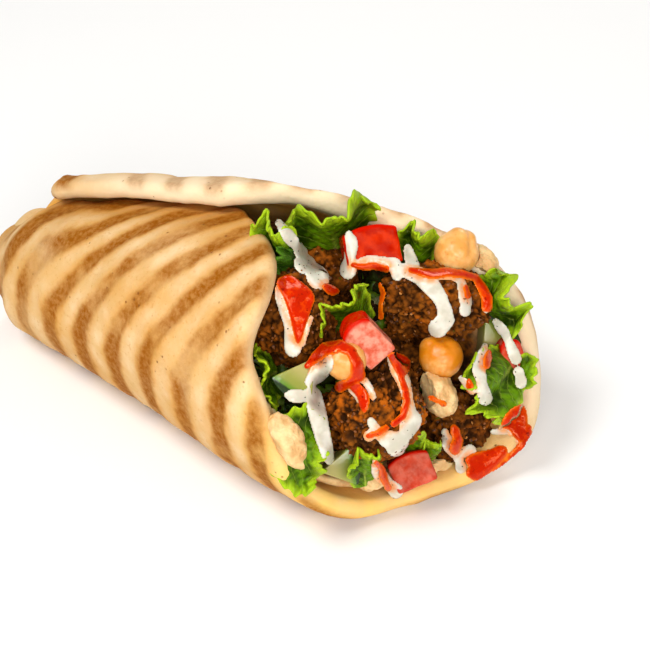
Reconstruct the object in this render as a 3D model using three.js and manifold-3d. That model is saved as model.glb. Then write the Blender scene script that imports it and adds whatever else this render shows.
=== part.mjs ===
// A falafel pita: a grilled flatbread rolled into a short cone round falafel, salad, chickpeas and
// hummus. It lies on its side with the mouth towards +X and the overlap of the roll on top.
// Millimetres, +Z up. The origin is on the floor, under the middle of the part's box.
import * as THREE from "three";
import { mergeVertices } from "three/addons/utils/BufferGeometryUtils.js";
import Module from "manifold-3d";

const wasm = await Module();
wasm.setup();

const { degToRad, smoothstep, lerp } = THREE.MathUtils;

// The roll: one sheet of bread wound once round an axis along x. Angles go round the axis in degrees:
// 0 is the far side (+Y), 90 the underside, 180 the near side, and 270 or -90 the top.
const TAIL_X = -95;
const TIP_X = 92;
const TAIL_RADIUS = 23.7;
const MIDDLE_RADIUS = 40.8;
const MOUTH_RADIUS = 49;
const BREAD = 7;
const FLAT_SINK = 2;
const LIP_ANGLE = -90;
const FLAP_ANGLE = 280;
const RIM_ROUND = 2.2;
const END_ROW = 0.035;

// The roll rests on a flat between two rows and two columns of the sheet. It bears on the flat's four
// corners, is a little hollow and waisted between them, and clears the floor beyond both ends.
const FLAT = { rows: [2, 9], columns: [18, 21], hollow: 0.04, waist: 0.94, clear: 0.4 };

// The lip lies over the flap: it lifts towards its edge, and the flap dips under it. At the tail the
// lip is set back, and the bread curls in.
const LIP_LIFT = { out: 5, from: 40, to: 90 };
const FLAP_DIP = { out: 5, from: 215, to: 275 };
const LIP_SETBACK = { out: 19, to: -40 };
const TAIL_CURL = { out: 6, length: 16 };

// The near side bellies out under the flap, and the underside lifts off the floor at the mouth.
const BELLY = { out: 3, from: -10, to: 40, angle: 145, spread: 36 };
const UNDER_LIFT = { out: 4.5, from: 45, to: 85, angle: 95, spread: 32 };

// The mouth's rim starts where the lip's edge ends. It spans a range of angles that narrows towards
// the tip and turns with it to the far side. The flap's front edge has a corner above a waist.
const LIP_END_X = -4;
const RIM_SPAN = { half: 185, along: 1.1, round: 0.72 };
const RIM_TURN = { start: 95, tip: 44, from: 15, to: 85 };
const FLAP_CORNER = { out: 5, angle: 240, spread: 20 };
const FLAP_WAIST = { out: 4, angle: 203, spread: 15 };
const TUCK = { depth: 10, radius: 18, pleats: 5, crease: 0.07 };

// The filling inside the bread: a spread of hummus on the wall and a core of salad down the middle.
// The spread is deepest on the floor of the roll, and its front edge is ragged.
const SPREAD = { thick: 3.2, from: -38, to: 192, setback: 3 };
const SPREAD_EDGE = { out: 2.5, step: 0.7 };
const SPREAD_SWELL = { out: 0.6, step: 0.8 };
const SPREAD_POOL = { out: 2, angle: 95, spread: 40 };
const TAIL_FILL = 26;
const CORE = { setback: 19, clear: 2 };
const CORE_LUMP = { out: 2.4, in: 1.3, round: 0.9 };
const SEAM_DIP = { out: 6, from: 200, deepest: 250, past: 285, to: 335 };
const SEEDS = { spreadEdge: 31, spreadSwell: 32, coreFront: 33 };

// Touching pieces keep this gap. A falafel is barrelled by this power, where 2 would be a ball, and its
// crags stand out by a share of its radius.
const GAP = 0.35;
const BARREL = 2.6;
const CRAG = 0.08;
const CRAG_SIZE = 6;
const CRAG_TOP = 0.6;
const BREAKS = 6;
const BREAK_AT = 0.86;
const LEAF = 1;

// The mouth: its centre in the roll, and the way it faces. Places below are in millimetres to the
// right, up and out of the mouth, seen from outside.
const MOUTH_CENTRE = new THREE.Vector3(60, 0, 38);
const MOUTH_AZIMUTH = 67;
const MOUTH_RISE = 29;

// Falafel: balls of fried chickpea paste. A drizzle of thick sauce is a ridge across the outer face,
// turned from the upright and moved sideways from the middle.
const FALAFELS = [
  { name: "falafel_front", at: [-9, -5, 8], radii: [17.5, 14, 15.5], turn: 28, seed: 1,
    drizzles: [[-20, 7], [-65, -8]] },
  { name: "falafel_right", at: [21.6, 19.5, 3], radii: [17.5, 12.6, 14], seed: 2,
    drizzles: [[20, 1], [5, 13]] },
  { name: "falafel_left", at: [-20.9, 26.3, -8], radii: [15, 16, 15], seed: 3, drizzles: [[8, 1]] },
  { name: "falafel_low", at: [21.5, -20, -5], radii: [13, 12, 12.5], seed: 4, drizzles: [] },
  { name: "falafel_back", at: [-0.2, 33.4, -26], radii: [13, 13, 13], seed: 5, drizzles: [] },
  { name: "falafel_deep", at: [17.4, 4.1, -13], radii: [12, 11, 11.5], seed: 6, drizzles: [] },
];
const FALAFEL_TURN = -19;
const DRIZZLE_HEIGHT = 1.1;
const DRIZZLE_HALF = 2.6;
const DRIZZLE_FADE = 0.4;
const SMALL_FALAFEL = 13;

const TOMATOES = [
  { name: "tomato_top", at: [8, 41, -4], size: [17, 11, 12], turn: [-8, -18, -6] },
  { name: "tomato_centre", at: [-10.5, 18.5, 17], size: [10, 13, 9], turn: [10, -20, 32] },
  { name: "tomato_low", at: [-0.2, -27.2, 5], size: [13, 9.5, 11], turn: [-6, -24, 6] },
  { name: "tomato_right", at: [41.5, -5, 7], size: [7, 13, 8], turn: [0, -12, 8] },
];
const TOMATO_BEVEL = 1;
// The dice are cut unevenly: shares of a size by which the crown rises and two corners are cut in.
const TOMATO_CROWN = 0.16;
const TOMATO_CUT = { low: 0.04, high: 0.06 };

const CUCUMBERS = [
  { name: "cucumber_left", at: [-23, 14.5, 5], radius: 14.5, sweep: 62, thick: 6, turn: [-24, -16, 182] },
  { name: "cucumber_low", at: [-29, -18.5, 3], radius: 12, sweep: 62, thick: 8, turn: [0, -22, -34] },
  { name: "cucumber_right", at: [33.5, -2, 1], radius: 14, sweep: 70, thick: 6, turn: [0, -8, 2] },
];
const CUCUMBER_BEVEL = 0.6;

const CHICKPEAS = [
  { name: "chickpea_top", at: [32, 32.5, 5], radius: 7, turn: [20, 0, -30] },
  { name: "chickpea_centre", at: [-18, 13.8, 16.5], radius: 6.2, turn: [0, 30, 60] },
  { name: "chickpea_right", at: [17.1, 3.5, 8], radius: 6.8, turn: [-20, 10, 15] },
];

// Shares of the radius: the beak's height, the groove's depth and half its width.
const BEAK = { out: 0.16, from: 0.72 };
const GROOVE = { depth: 0.09, half: 0.2, from: -0.4, to: 0.6 };

const DOLLOPS = [
  { name: "hummus_right", at: [13, -7, 8.5], radii: [5.6, 8.4, 6], turn: 12, seed: 21 },
  { name: "hummus_left", at: [-40, -4.6, 12], radii: [4.4, 9.2, 4.4], turn: 14, seed: 22 },
  { name: "hummus_low", at: [-14.8, -25, 6], radii: [4.6, 5, 4.6], turn: 0, seed: 23 },
  { name: "hummus_top", at: [40, 27, 5], radii: [4.4, 7.4, 4], turn: 30, seed: 24 },
];

// A dollop swells and sinks by a share of its radius, over lumps of this many to a radius.
const SWELL = { share: 0.16, lumps: 1.6 };

// Torn lettuce and herb leaves, tucked in with their margins out of the mouth. A leaf faces the way
// given, fans out from its root to its tip, bends and twists on the way, and is folded into waves there.
const LEAVES = [
  { name: "lettuce_top", root: [4.1, 36.2, -22], tip: [-2.7, 55.5, -1.2], face: [-0.22, -0.75, 0.63],
    width: 31, bend: 35, twist: 0, ruffle: 4.5, waves: 1.25, step: 90 },
  { name: "lettuce_top_left", root: [-12.3, 40.1, -20], tip: [-23.6, 57, -2.3], face: [-0.69, -0.69, 0.21],
    width: 15, bend: -30, twist: 15, ruffle: 3, waves: 1.3, step: 0 },
  { name: "lettuce_top_right", root: [21.5, 26, -10], tip: [21.6, 42.8, 3.4], face: [-0.8, -0.37, 0.47],
    width: 13, bend: 30, twist: -15, ruffle: 3, waves: 1.3, step: 40 },
  { name: "lettuce_right", root: [38.3, 11.8, -3], tip: [42.5, 15, 16.8], face: [-0.95, -0.21, 0.23],
    width: 22, bend: -30, twist: 10, ruffle: 4.2, waves: 1.45, step: 116 },
  { name: "lettuce_side", root: [39.6, -9.1, 7], tip: [44.6, -8.3, 15.7], face: [-0.86, 0.17, 0.48],
    width: 11, bend: -30, twist: 10, ruffle: 1.4, waves: 0.9, step: 30 },
  { name: "lettuce_front_right", root: [40.8, -5.5, 8], tip: [18.7, -10.4, 19.4], face: [0.42, 0.19, 0.89],
    width: 24, bend: -40, twist: 20, ruffle: 3.2, waves: 2, step: 20 },
  { name: "lettuce_centre", root: [-1.9, 16.4, -3], tip: [-14.4, 29.4, 10.9], face: [0.19, -0.63, 0.75],
    width: 23, bend: 35, twist: 15, ruffle: 2.6, waves: 1.6, step: 0 },
  { name: "lettuce_left", root: [-30.5, 12, -8], tip: [-40.9, 13.8, 5.9], face: [0.8, 0.01, 0.6],
    width: 21, bend: 30, twist: 10, ruffle: 2, waves: 1.6, step: 0 },
  { name: "lettuce_low_left", root: [-43.3, -6.1, 6], tip: [-30.7, -11, 15.3], face: [-0.54, 0.17, 0.83],
    width: 28, bend: -35, twist: 10, ruffle: 3, waves: 1.7, step: 60 },
  { name: "lettuce_low", root: [-17.8, -26.7, 8], tip: [-19.5, -14.7, 19.1], face: [-0.13, -0.68, 0.72],
    width: 13, bend: 30, twist: -10, ruffle: 2.2, waves: 1.4, step: 0 },
  { name: "lettuce_low_right", root: [-1.4, -25.2, 2], tip: [-0.2, -12.8, 13.6], face: [-0.8, -0.36, 0.47],
    width: 9, bend: 35, twist: 10, ruffle: 1.8, waves: 1.2, step: 0 },
  { name: "lettuce_tip", root: [6.7, -28.4, 2], tip: [5.5, -20, 11.9], face: [-0.02, -0.77, 0.64],
    width: 7, bend: -25, twist: 10, ruffle: 1.2, waves: 1, step: 0 },
  { name: "herb_leaf", root: [-11.2, 38.6, -12], tip: [-25.2, 46.6, -1.2], face: [0.38, -0.44, 0.82],
    width: 9, bend: -30, twist: 15, ruffle: 1.6, waves: 1.6, step: 0 },
];
const SMALL_LEAF = 14;
// A leaf's outline: a narrow root, a belly that starts and ends part of the way round a half turn, a
// rounded margin and scalloped sides. The folds deepen towards the margin.
const OUTLINE = { root: 0.3, belly: [0.12, 0.55], tip: 0.2, blunt: 8, round: 0.35, scallop: 0.05 };
const FOLD_GROWTH = 1.3;

const BREAD_FINISH = { color: 0xe9c592, roughness: 0.8 };
const HUMMUS_FINISH = { color: 0xf0d9b0, roughness: 0.6 };
const SALAD_FINISH = { color: 0x3f3a18, roughness: 0.8 };
const FALAFEL_FINISH = { color: 0x6b3a1b, roughness: 0.9 };
const TOMATO_FINISH = { color: 0xc8321e, roughness: 0.3 };
const CUCUMBER_FINISH = { color: 0xb9cf7d, roughness: 0.35 };
const CHICKPEA_FINISH = { color: 0xe3a862, roughness: 0.5 };
const LETTUCE_FINISH = { color: 0x6fae25, roughness: 0.45 };

function material(finish) {
  return new THREE.MeshStandardMaterial({ ...finish, metalness: 0 });
}

// Solids: a closed mesh of points and triangles, turned so that its faces point out.
function closedBody(points, triangles) {
  let volume = 0;
  for (const [a, b, c] of triangles) {
    volume += points[a].dot(points[b].clone().cross(points[c]));
  }
  const outward = volume > 0 ? triangles : triangles.map(([a, b, c]) => [a, c, b]);
  const geometry = new THREE.BufferGeometry().setFromPoints(points);
  geometry.setIndex(outward.flat());
  return geometry;
}

function joined(geometry) {
  geometry.deleteAttribute("normal");
  geometry.deleteAttribute("uv");
  return mergeVertices(geometry, 1e-4);
}

function solidOf(geometry) {
  const vertProperties = new Float32Array(geometry.getAttribute("position").array);
  const triVerts = new Uint32Array(geometry.getIndex().array);
  return new wasm.Manifold(new wasm.Mesh({ numProp: 3, vertProperties, triVerts }));
}

function geometryOf(solid) {
  const { vertProperties, triVerts } = solid.getMesh();
  const geometry = new THREE.BufferGeometry();
  geometry.setAttribute("position", new THREE.BufferAttribute(vertProperties, 3));
  geometry.setIndex(new THREE.BufferAttribute(triVerts, 1));
  return geometry;
}

// What a cut leaves loose is dropped: the largest body is the piece.
function largestBody(solid) {
  const bodies = solid.decompose();
  bodies.sort((a, b) => b.volume() - a.volume());
  return bodies[0];
}

// A sheet with two faces of (rows + 1) by (columns + 1) points. The edge between them is straight, or
// goes through the rim's points.
function sheet(rows, columns, outer, inner, rim) {
  const across = columns + 1;
  const face = (rows + 1) * across;
  const points = [];
  const triangles = [];
  for (const point of [outer, inner]) {
    for (let i = 0; i <= rows; i++) {
      for (let j = 0; j <= columns; j++) {
        points.push(point(i, j));
      }
    }
  }
  for (let i = 0; i < rows; i++) {
    for (let j = 0; j < columns; j++) {
      const a = i * across + j;
      const b = a + across;
      triangles.push([a, b, b + 1], [a, b + 1, a + 1]);
      triangles.push([face + a, face + b + 1, face + b], [face + a, face + a + 1, face + b + 1]);
    }
  }
  const border = [];
  for (let j = 0; j < columns; j++) border.push([0, j]);
  for (let i = 0; i < rows; i++) border.push([i, columns]);
  for (let j = columns; j > 0; j--) border.push([rows, j]);
  for (let i = rows; i > 0; i--) border.push([i, 0]);
  const rimStart = points.length;
  if (rim) border.forEach(([i, j]) => points.push(rim(i, j)));
  border.forEach(([i, j], here) => {
    const next = (here + 1) % border.length;
    const a = i * across + j;
    const b = border[next][0] * across + border[next][1];
    const strips = [[a, b]];
    if (rim) strips.push([rimStart + here, rimStart + next]);
    strips.push([face + a, face + b]);
    for (let k = 1; k < strips.length; k++) {
      const [p, q] = strips[k - 1];
      const [r, s] = strips[k];
      triangles.push([p, q, s], [p, s, r]);
    }
  });
  return closedBody(points, triangles);
}

// A lump: a ball whose points are moved to where the shape puts each direction.
function lump(detail, shape) {
  const geometry = joined(new THREE.IcosahedronGeometry(1, detail));
  const position = geometry.getAttribute("position");
  const direction = new THREE.Vector3();
  for (let i = 0; i < position.count; i++) {
    direction.fromBufferAttribute(position, i).normalize();
    const point = shape(direction);
    position.setXYZ(i, point.x, point.y, point.z);
  }
  return geometry;
}

// Seeded noise between -1 and 1 on a lattice of unit cells.
function latticeValue(x, y, z, seed) {
  let h = Math.imul(x, 374761393) + Math.imul(y, 668265263);
  h += Math.imul(z, 1274126177) + Math.imul(seed, 974711);
  h = Math.imul(h ^ (h >>> 13), 1103515245);
  return ((h ^ (h >>> 16)) >>> 0) / 2147483648 - 1;
}

function noise(x, y, z, seed) {
  const cell = [Math.floor(x), Math.floor(y), Math.floor(z)];
  const [fx, fy, fz] = [x - cell[0], y - cell[1], z - cell[2]].map((f) => smoothstep(f, 0, 1));
  const at = (i, j, k) => latticeValue(cell[0] + i, cell[1] + j, cell[2] + k, seed);
  const along = (j, k) => lerp(at(0, j, k), at(1, j, k), fx);
  const over = (k) => lerp(along(0, k), along(1, k), fy);
  return lerp(over(0), over(1), fz);
}

// The bread: the radius of the roll, and of the bread's outer face at any angle.
function rollRadius(x) {
  const t = (x - TAIL_X) / (TIP_X - TAIL_X);
  const tail = TAIL_RADIUS * (1 - t) * (1 - 2 * t);
  const middle = MIDDLE_RADIUS * 4 * t * (1 - t);
  const mouth = MOUTH_RADIUS * t * (2 * t - 1);
  return tail + middle + mouth;
}

// A swelling that fades on both sides of its angle.
function bump({ out, angle, spread }, at) {
  return out * Math.exp(-(((at - angle) / spread) ** 2));
}

function wallRadius(x, angle) {
  const belly = bump(BELLY, angle) * smoothstep(x, BELLY.from, BELLY.to);
  const lifted = bump(UNDER_LIFT, angle) * smoothstep(x, UNDER_LIFT.from, UNDER_LIFT.to);
  return rollRadius(x) + belly - lifted;
}

function breadRadius(x, angle) {
  const lift = LIP_LIFT.out * smoothstep(-angle, LIP_LIFT.from, LIP_LIFT.to);
  const dip = FLAP_DIP.out * smoothstep(angle, FLAP_DIP.from, FLAP_DIP.to);
  const curl = TAIL_CURL.out * (1 - smoothstep(x, TAIL_X, TAIL_X + TAIL_CURL.length));
  return wallRadius(x, angle) + lift - dip - curl;
}

// A point at a radius from the roll's axis, never lower than the flat that it rests on.
function rollPoint(x, angle, radius, lowest) {
  const turn = degToRad(angle);
  const height = rollRadius(x) - FLAT_SINK - radius * Math.sin(turn);
  return new THREE.Vector3(x, radius * Math.cos(turn), Math.max(height, lowest));
}

function breadPoint(x, angle, depth) {
  return rollPoint(x, angle, breadRadius(x, angle) - depth, depth);
}

function frontX(angle) {
  const step = 0.1;
  let x = TIP_X;
  let within = false;
  while (!within && x > LIP_END_X) {
    const share = (x - LIP_END_X) / (TIP_X - LIP_END_X);
    const middle = lerp(RIM_TURN.start, RIM_TURN.tip, smoothstep(x, RIM_TURN.from, RIM_TURN.to));
    const half = RIM_SPAN.half * (1 - share ** RIM_SPAN.along) ** RIM_SPAN.round;
    within = Math.abs(angle - middle) <= half;
    if (!within) x -= step;
  }
  return x + bump(FLAP_CORNER, angle) - bump(FLAP_WAIST, angle);
}

function tailX(angle) {
  return TAIL_X + LIP_SETBACK.out * (1 - smoothstep(angle, LIP_ANGLE, LIP_SETBACK.to));
}

// A point of the underside, by its row and column in the sheet.
function onFlat(point, i, j) {
  const [first, last] = FLAT.rows;
  if (i < first || i > last) {
    point.z = Math.max(point.z, FLAT.clear);
  } else if (FLAT.rows.includes(i) && FLAT.columns.includes(j)) {
    point.z = 0;
  } else if (point.z <= 0) {
    point.z = FLAT.hollow;
    point.y *= FLAT.waist;
  }
  return point;
}

// Rows along the bread lie closer at the tail and at the rim, where its edge is round.
function flatbreadSheet(grow) {
  const rows = 12;
  const columns = 40;
  const angleAt = (j) => lerp(LIP_ANGLE, FLAP_ANGLE, j / columns);
  const fronts = Array.from({ length: columns + 1 }, (_, j) => frontX(angleAt(j)));
  const share = (i) => {
    if (i === 0 || i === rows) return i / rows;
    return lerp(END_ROW, 1 - END_ROW, (i - 1) / (rows - 2));
  };
  const xAt = (i, j) => lerp(tailX(angleAt(j)), fronts[j], share(i));
  const rim = (i, j) => {
    const x = xAt(i, j);
    const across = degToRad(1) * breadRadius(x, angleAt(j));
    const before = Math.max(j - 1, 0);
    const after = Math.min(j + 1, columns);
    const slope = (fronts[after] - fronts[before]) / ((angleAt(after) - angleAt(before)) * across);
    const out = new THREE.Vector2();
    if (i === rows) out.add(new THREE.Vector2(1, -slope).normalize());
    if (i === 0) out.x -= 1;
    if (j === 0) out.y -= 1;
    if (j === columns) out.y += 1;
    out.setLength(RIM_ROUND + grow);
    return breadPoint(x + out.x, angleAt(j) + out.y / across, BREAD / 2);
  };
  const outer = (i, j) => onFlat(breadPoint(xAt(i, j), angleAt(j), -grow), i, j);
  const inner = (i, j) => breadPoint(xAt(i, j), angleAt(j), BREAD + grow);
  return sheet(rows, columns, outer, inner, rim);
}

// The foot of the bread is folded in and closes the tail.
function tailTuck(grow) {
  const centre = new THREE.Vector3(TAIL_X + TUCK.depth / 2, 0, TAIL_RADIUS - FLAT_SINK);
  return lump(3, (direction) => {
    const around = Math.atan2(direction.z, direction.y);
    const pleat = 1 - TUCK.crease * Math.abs(Math.sin((around * TUCK.pleats) / 2 + direction.x));
    const point = direction.clone().multiply(new THREE.Vector3(TUCK.depth, TUCK.radius, TUCK.radius));
    return point.multiplyScalar(pleat).addScaledVector(direction, grow).add(centre);
  });
}

function flatbread(grow) {
  return solidOf(flatbreadSheet(grow)).add(solidOf(tailTuck(grow)));
}

// The spread of hummus lines the bread from the far side, over the floor of the roll, to the near side.
function hummusSpread(grow) {
  const rows = 6;
  const columns = 13;
  const angleAt = (j) => lerp(SPREAD.from, SPREAD.to, j / columns);
  const xAt = (i, j) => {
    const ragged = SPREAD_EDGE.out * noise(j * SPREAD_EDGE.step, 0, 0, SEEDS.spreadEdge);
    const edge = frontX(angleAt(j)) - SPREAD.setback + ragged;
    return lerp(TAIL_X + TAIL_FILL, edge, i / rows);
  };
  const outer = (i, j) => breadPoint(xAt(i, j), angleAt(j), BREAD + 2 * GAP - grow);
  const inner = (i, j) => {
    const { out, step } = SPREAD_SWELL;
    const swell = out * noise(i * step, j * step, 0, SEEDS.spreadSwell);
    const pool = bump(SPREAD_POOL, angleAt(j)) * (i / rows);
    return breadPoint(xAt(i, j), angleAt(j), BREAD + 2 * GAP + SPREAD.thick + swell + pool + grow);
  };
  return sheet(rows, columns, outer, inner);
}

// The core of salad fills the roll behind the pieces that show. Its front is lumpy and leans as the
// mouth does.
function saladCore() {
  const columns = 20;
  const rows = 7;
  const rings = 3;
  const inset = BREAD + SPREAD.thick + SPREAD_POOL.out + CORE.clear;
  const seamDip = (angle) => {
    const deepening = smoothstep(angle, SEAM_DIP.from, SEAM_DIP.deepest);
    return SEAM_DIP.out * deepening * (1 - smoothstep(angle, SEAM_DIP.past, SEAM_DIP.to));
  };
  const angleAt = (j) => (360 * j) / columns;
  const wound = (angle) => (angle > FLAP_ANGLE ? angle - 360 : angle);
  const side = (x, angle) => {
    const radius = wallRadius(x, angle) - inset - seamDip(angle);
    return rollPoint(x, angle, radius, inset);
  };
  const start = TAIL_X + TAIL_FILL + 1;
  const points = [];
  for (let i = 0; i <= rows; i++) {
    for (let j = 0; j < columns; j++) {
      const front = frontX(wound(angleAt(j))) - CORE.setback;
      points.push(side(lerp(start, front, i / rows), angleAt(j)));
    }
  }
  const out = new THREE.Vector3(0, 0, 1).transformDirection(mouthMatrix());
  const frontMiddle = MOUTH_CENTRE.clone().addScaledVector(out, -CORE.setback);
  for (let ring = 1; ring <= rings; ring++) {
    for (let j = 0; j < columns; j++) {
      const rimPoint = points[rows * columns + j];
      const bump = CORE_LUMP.out * noise(ring * CORE_LUMP.in, j * CORE_LUMP.round, 0, SEEDS.coreFront);
      points.push(rimPoint.clone().lerp(frontMiddle, ring / (rings + 1)).addScaledVector(out, bump));
    }
  }
  const loops = rows + rings;
  const triangles = [];
  for (let i = 0; i < loops; i++) {
    for (let j = 0; j < columns; j++) {
      const next = (j + 1) % columns;
      const a = i * columns + j;
      const b = i * columns + next;
      triangles.push([a, b, b + columns], [a, b + columns, a + columns]);
    }
  }
  points.push(new THREE.Vector3(start, 0, rollRadius(start) - FLAT_SINK), frontMiddle);
  const [tailMiddle, mouthMiddle] = [points.length - 2, points.length - 1];
  for (let j = 0; j < columns; j++) {
    const next = (j + 1) % columns;
    triangles.push([next, j, tailMiddle], [loops * columns + j, loops * columns + next, mouthMiddle]);
  }
  return closedBody(points, triangles);
}

// A falafel is broken flat on a few sides: the share of its radius that is left in a direction.
function brokenTo(direction, seed) {
  let left = 1;
  for (let side = 0; side < BREAKS; side++) {
    const [x, y, z] = [1, 2, 3].map((axis) => latticeValue(side, axis, 0, seed));
    const towards = new THREE.Vector3(x, y, z).normalize().dot(direction);
    left = Math.min(left, BREAK_AT / Math.max(towards, BREAK_AT));
  }
  return left;
}

// How much further a barrel reaches in a direction than a ball does.
function barrelled({ x, y, z }) {
  const sum = [x, y, z].reduce((total, part) => total + Math.abs(part) ** BARREL, 0);
  return sum ** (-1 / BARREL);
}

// Falafel, with crags in its crust and ridges of sauce across its outer face.
function falafel({ radii, seed, drizzles }, grow) {
  const reach = new THREE.Vector3(...radii);
  if (grow > 0) {
    const cover = (1 + CRAG) * (1 + 2 * grow / radii[0]);
    return lump(2, (direction) => {
      const share = cover * barrelled(direction);
      return direction.clone().multiply(reach).multiplyScalar(share);
    });
  }
  const detail = radii[0] > SMALL_FALAFEL ? 4 : 2;
  return lump(detail, (direction) => {
    const share = barrelled(direction) * brokenTo(direction, seed);
    const point = direction.clone().multiply(reach).multiplyScalar(share);
    const place = point.clone().divideScalar(CRAG_SIZE);
    const coarse = noise(place.x, place.y, place.z, seed);
    const crags = coarse + 0.5 * noise(place.x * 2, place.y * 2, place.z * 2, seed);
    point.multiplyScalar(1 + CRAG * THREE.MathUtils.clamp(crags, -1, CRAG_TOP));
    for (const [lean, offset] of drizzles) {
      const turn = degToRad(lean);
      const aside = point.x * Math.cos(turn) + point.y * Math.sin(turn) - offset;
      const ridge = Math.exp(-((aside / DRIZZLE_HALF) ** 2)) * smoothstep(direction.z, 0, DRIZZLE_FADE);
      point.addScaledVector(direction, DRIZZLE_HEIGHT * ridge);
    }
    return point;
  });
}

// Diced tomato: a block with one curved side, where the skin is.
function tomato({ size }, grow) {
  const [width, height, depth] = size.map((s) => s + 2 * grow);
  const crown = height * TOMATO_CROWN;
  const outline = new THREE.Shape();
  outline.moveTo(-width * 0.5, -height * 0.5);
  outline.lineTo(width * (0.5 - TOMATO_CUT.low), -height * (0.5 - TOMATO_CUT.low));
  outline.lineTo(width * 0.5, height * 0.5 - crown);
  const shoulder = -width * (0.5 - TOMATO_CUT.high);
  outline.quadraticCurveTo(0, height * 0.5 + crown, shoulder, height * 0.5 - crown);
  const geometry = new THREE.ExtrudeGeometry(outline, {
    depth: depth - 2 * TOMATO_BEVEL, curveSegments: 4, bevelSegments: 1,
    bevelSize: TOMATO_BEVEL, bevelThickness: TOMATO_BEVEL, bevelOffset: -TOMATO_BEVEL,
  });
  geometry.translate(0, 0, TOMATO_BEVEL - depth / 2);
  return joined(geometry);
}

// Cucumber: a sector of a round slice, with the skin on its arc.
function cucumber({ radius, sweep, thick }, grow) {
  const angle = degToRad(sweep);
  const back = grow / Math.sin(angle / 2);
  const apex = new THREE.Vector2(-back * Math.cos(angle / 2), -back * Math.sin(angle / 2));
  const depth = thick + 2 * grow;
  const outline = new THREE.Shape();
  const reach = radius + back + grow;
  outline.moveTo(apex.x, apex.y);
  outline.lineTo(apex.x + reach, apex.y);
  outline.absarc(apex.x, apex.y, reach, 0, angle, false);
  const geometry = new THREE.ExtrudeGeometry(outline, {
    depth: depth - 2 * CUCUMBER_BEVEL, curveSegments: 8, bevelSegments: 1,
    bevelSize: CUCUMBER_BEVEL, bevelThickness: CUCUMBER_BEVEL, bevelOffset: -CUCUMBER_BEVEL,
  });
  geometry.translate(0, 0, CUCUMBER_BEVEL - depth / 2);
  return joined(geometry);
}

// A chickpea: round, with a beak at one end and a groove from it over the back.
function chickpea({ radius }, grow) {
  return lump(2, (direction) => {
    const beak = BEAK.out * smoothstep(direction.y, BEAK.from, 1);
    const valley = Math.exp(-((direction.x / GROOVE.half) ** 2));
    const groove = GROOVE.depth * valley * smoothstep(direction.y, GROOVE.from, GROOVE.to);
    return direction.clone().multiplyScalar(radius * (1 + beak - groove) + grow);
  });
}

// A dollop of hummus, soft and uneven.
function dollop({ radii, seed }, grow) {
  const reach = new THREE.Vector3(...radii);
  return lump(2, (direction) => {
    const place = direction.clone().multiplyScalar(SWELL.lumps);
    const swell = 1 + SWELL.share * noise(place.x, place.y, place.z, seed);
    return direction.clone().multiply(reach).multiplyScalar(swell).addScaledVector(direction, grow);
  });
}

// A leaf lies along y from root to tip, with its width along x and its face towards +z.
function leafSurface(leaf, s, t) {
  const chord = new THREE.Vector3(...leaf.tip).distanceTo(new THREE.Vector3(...leaf.root));
  const bend = degToRad(leaf.bend);
  const arc = chord / (2 * Math.sin(bend / 2));
  const belly = Math.sin(Math.PI * lerp(...OUTLINE.belly, s));
  const scallop = 1 + OUTLINE.scallop * Math.sin(4 * Math.PI * leaf.waves * s + t);
  const tip = 1 - OUTLINE.tip * s ** OUTLINE.blunt;
  const half = (leaf.width / 2) * lerp(OUTLINE.root, 1, belly) * tip * scallop;
  const twist = degToRad(leaf.twist) * (s - 0.5);
  const x = half * t * Math.cos(twist);
  const y = chord / 2 + arc * Math.sin(bend * (s - 0.5)) - OUTLINE.round * half * (t * s) ** 2;
  const sag = arc * (Math.cos(bend / 2) - Math.cos(bend * (s - 0.5)));
  const depth = leaf.ruffle * Math.max(s, 0) ** FOLD_GROWTH;
  const fold = depth * Math.sin(Math.PI * leaf.waves * t + degToRad(leaf.step));
  return new THREE.Vector3(x, y, sag + fold + half * t * Math.sin(twist));
}

function lettuceLeaf(leaf, grow) {
  const rows = 5;
  const columns = leaf.width < SMALL_LEAF ? 5 : 8;
  const step = 0.02;
  const outwards = (k, last) => (k === last) - (k === 0);
  const face = (side) => (i, j) => {
    const s = i / rows;
    const t = (2 * j) / columns - 1;
    const along = leafSurface(leaf, s + step, t).sub(leafSurface(leaf, s - step, t)).normalize();
    const across = leafSurface(leaf, s, t + step).sub(leafSurface(leaf, s, t - step)).normalize();
    const normal = across.clone().cross(along).normalize();
    const point = leafSurface(leaf, s, t).addScaledVector(normal, side * (LEAF / 2 + grow));
    point.addScaledVector(along, grow * outwards(i, rows));
    return point.addScaledVector(across, grow * outwards(j, columns));
  };
  return sheet(rows, columns, face(1), face(-1));
}

// Places: the mouth in the roll, and a piece in the mouth.
function mouthMatrix() {
  const lean = degToRad(90 - MOUTH_RISE);
  const turn = new THREE.Euler(lean, 0, degToRad(MOUTH_AZIMUTH), "ZXY");
  return new THREE.Matrix4().makeRotationFromEuler(turn).setPosition(MOUTH_CENTRE);
}

function placed(at, turn) {
  const angles = new THREE.Euler(...turn.map(degToRad));
  return new THREE.Matrix4().makeRotationFromEuler(angles).setPosition(...at);
}

function leafPlace({ root, tip, face }) {
  const from = new THREE.Vector3(...root);
  const along = new THREE.Vector3(...tip).sub(from).normalize();
  const aside = along.clone().cross(new THREE.Vector3(...face)).normalize();
  const out = aside.clone().cross(along);
  return new THREE.Matrix4().makeBasis(aside, along, out).setPosition(from);
}

const roll = new THREE.Group();
const mouth = new THREE.Group();
mouthMatrix().decompose(mouth.position, mouth.quaternion, mouth.scale);
roll.add(mouth);

// Each piece is cut clear of the pieces placed before it.
const taken = [];

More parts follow.
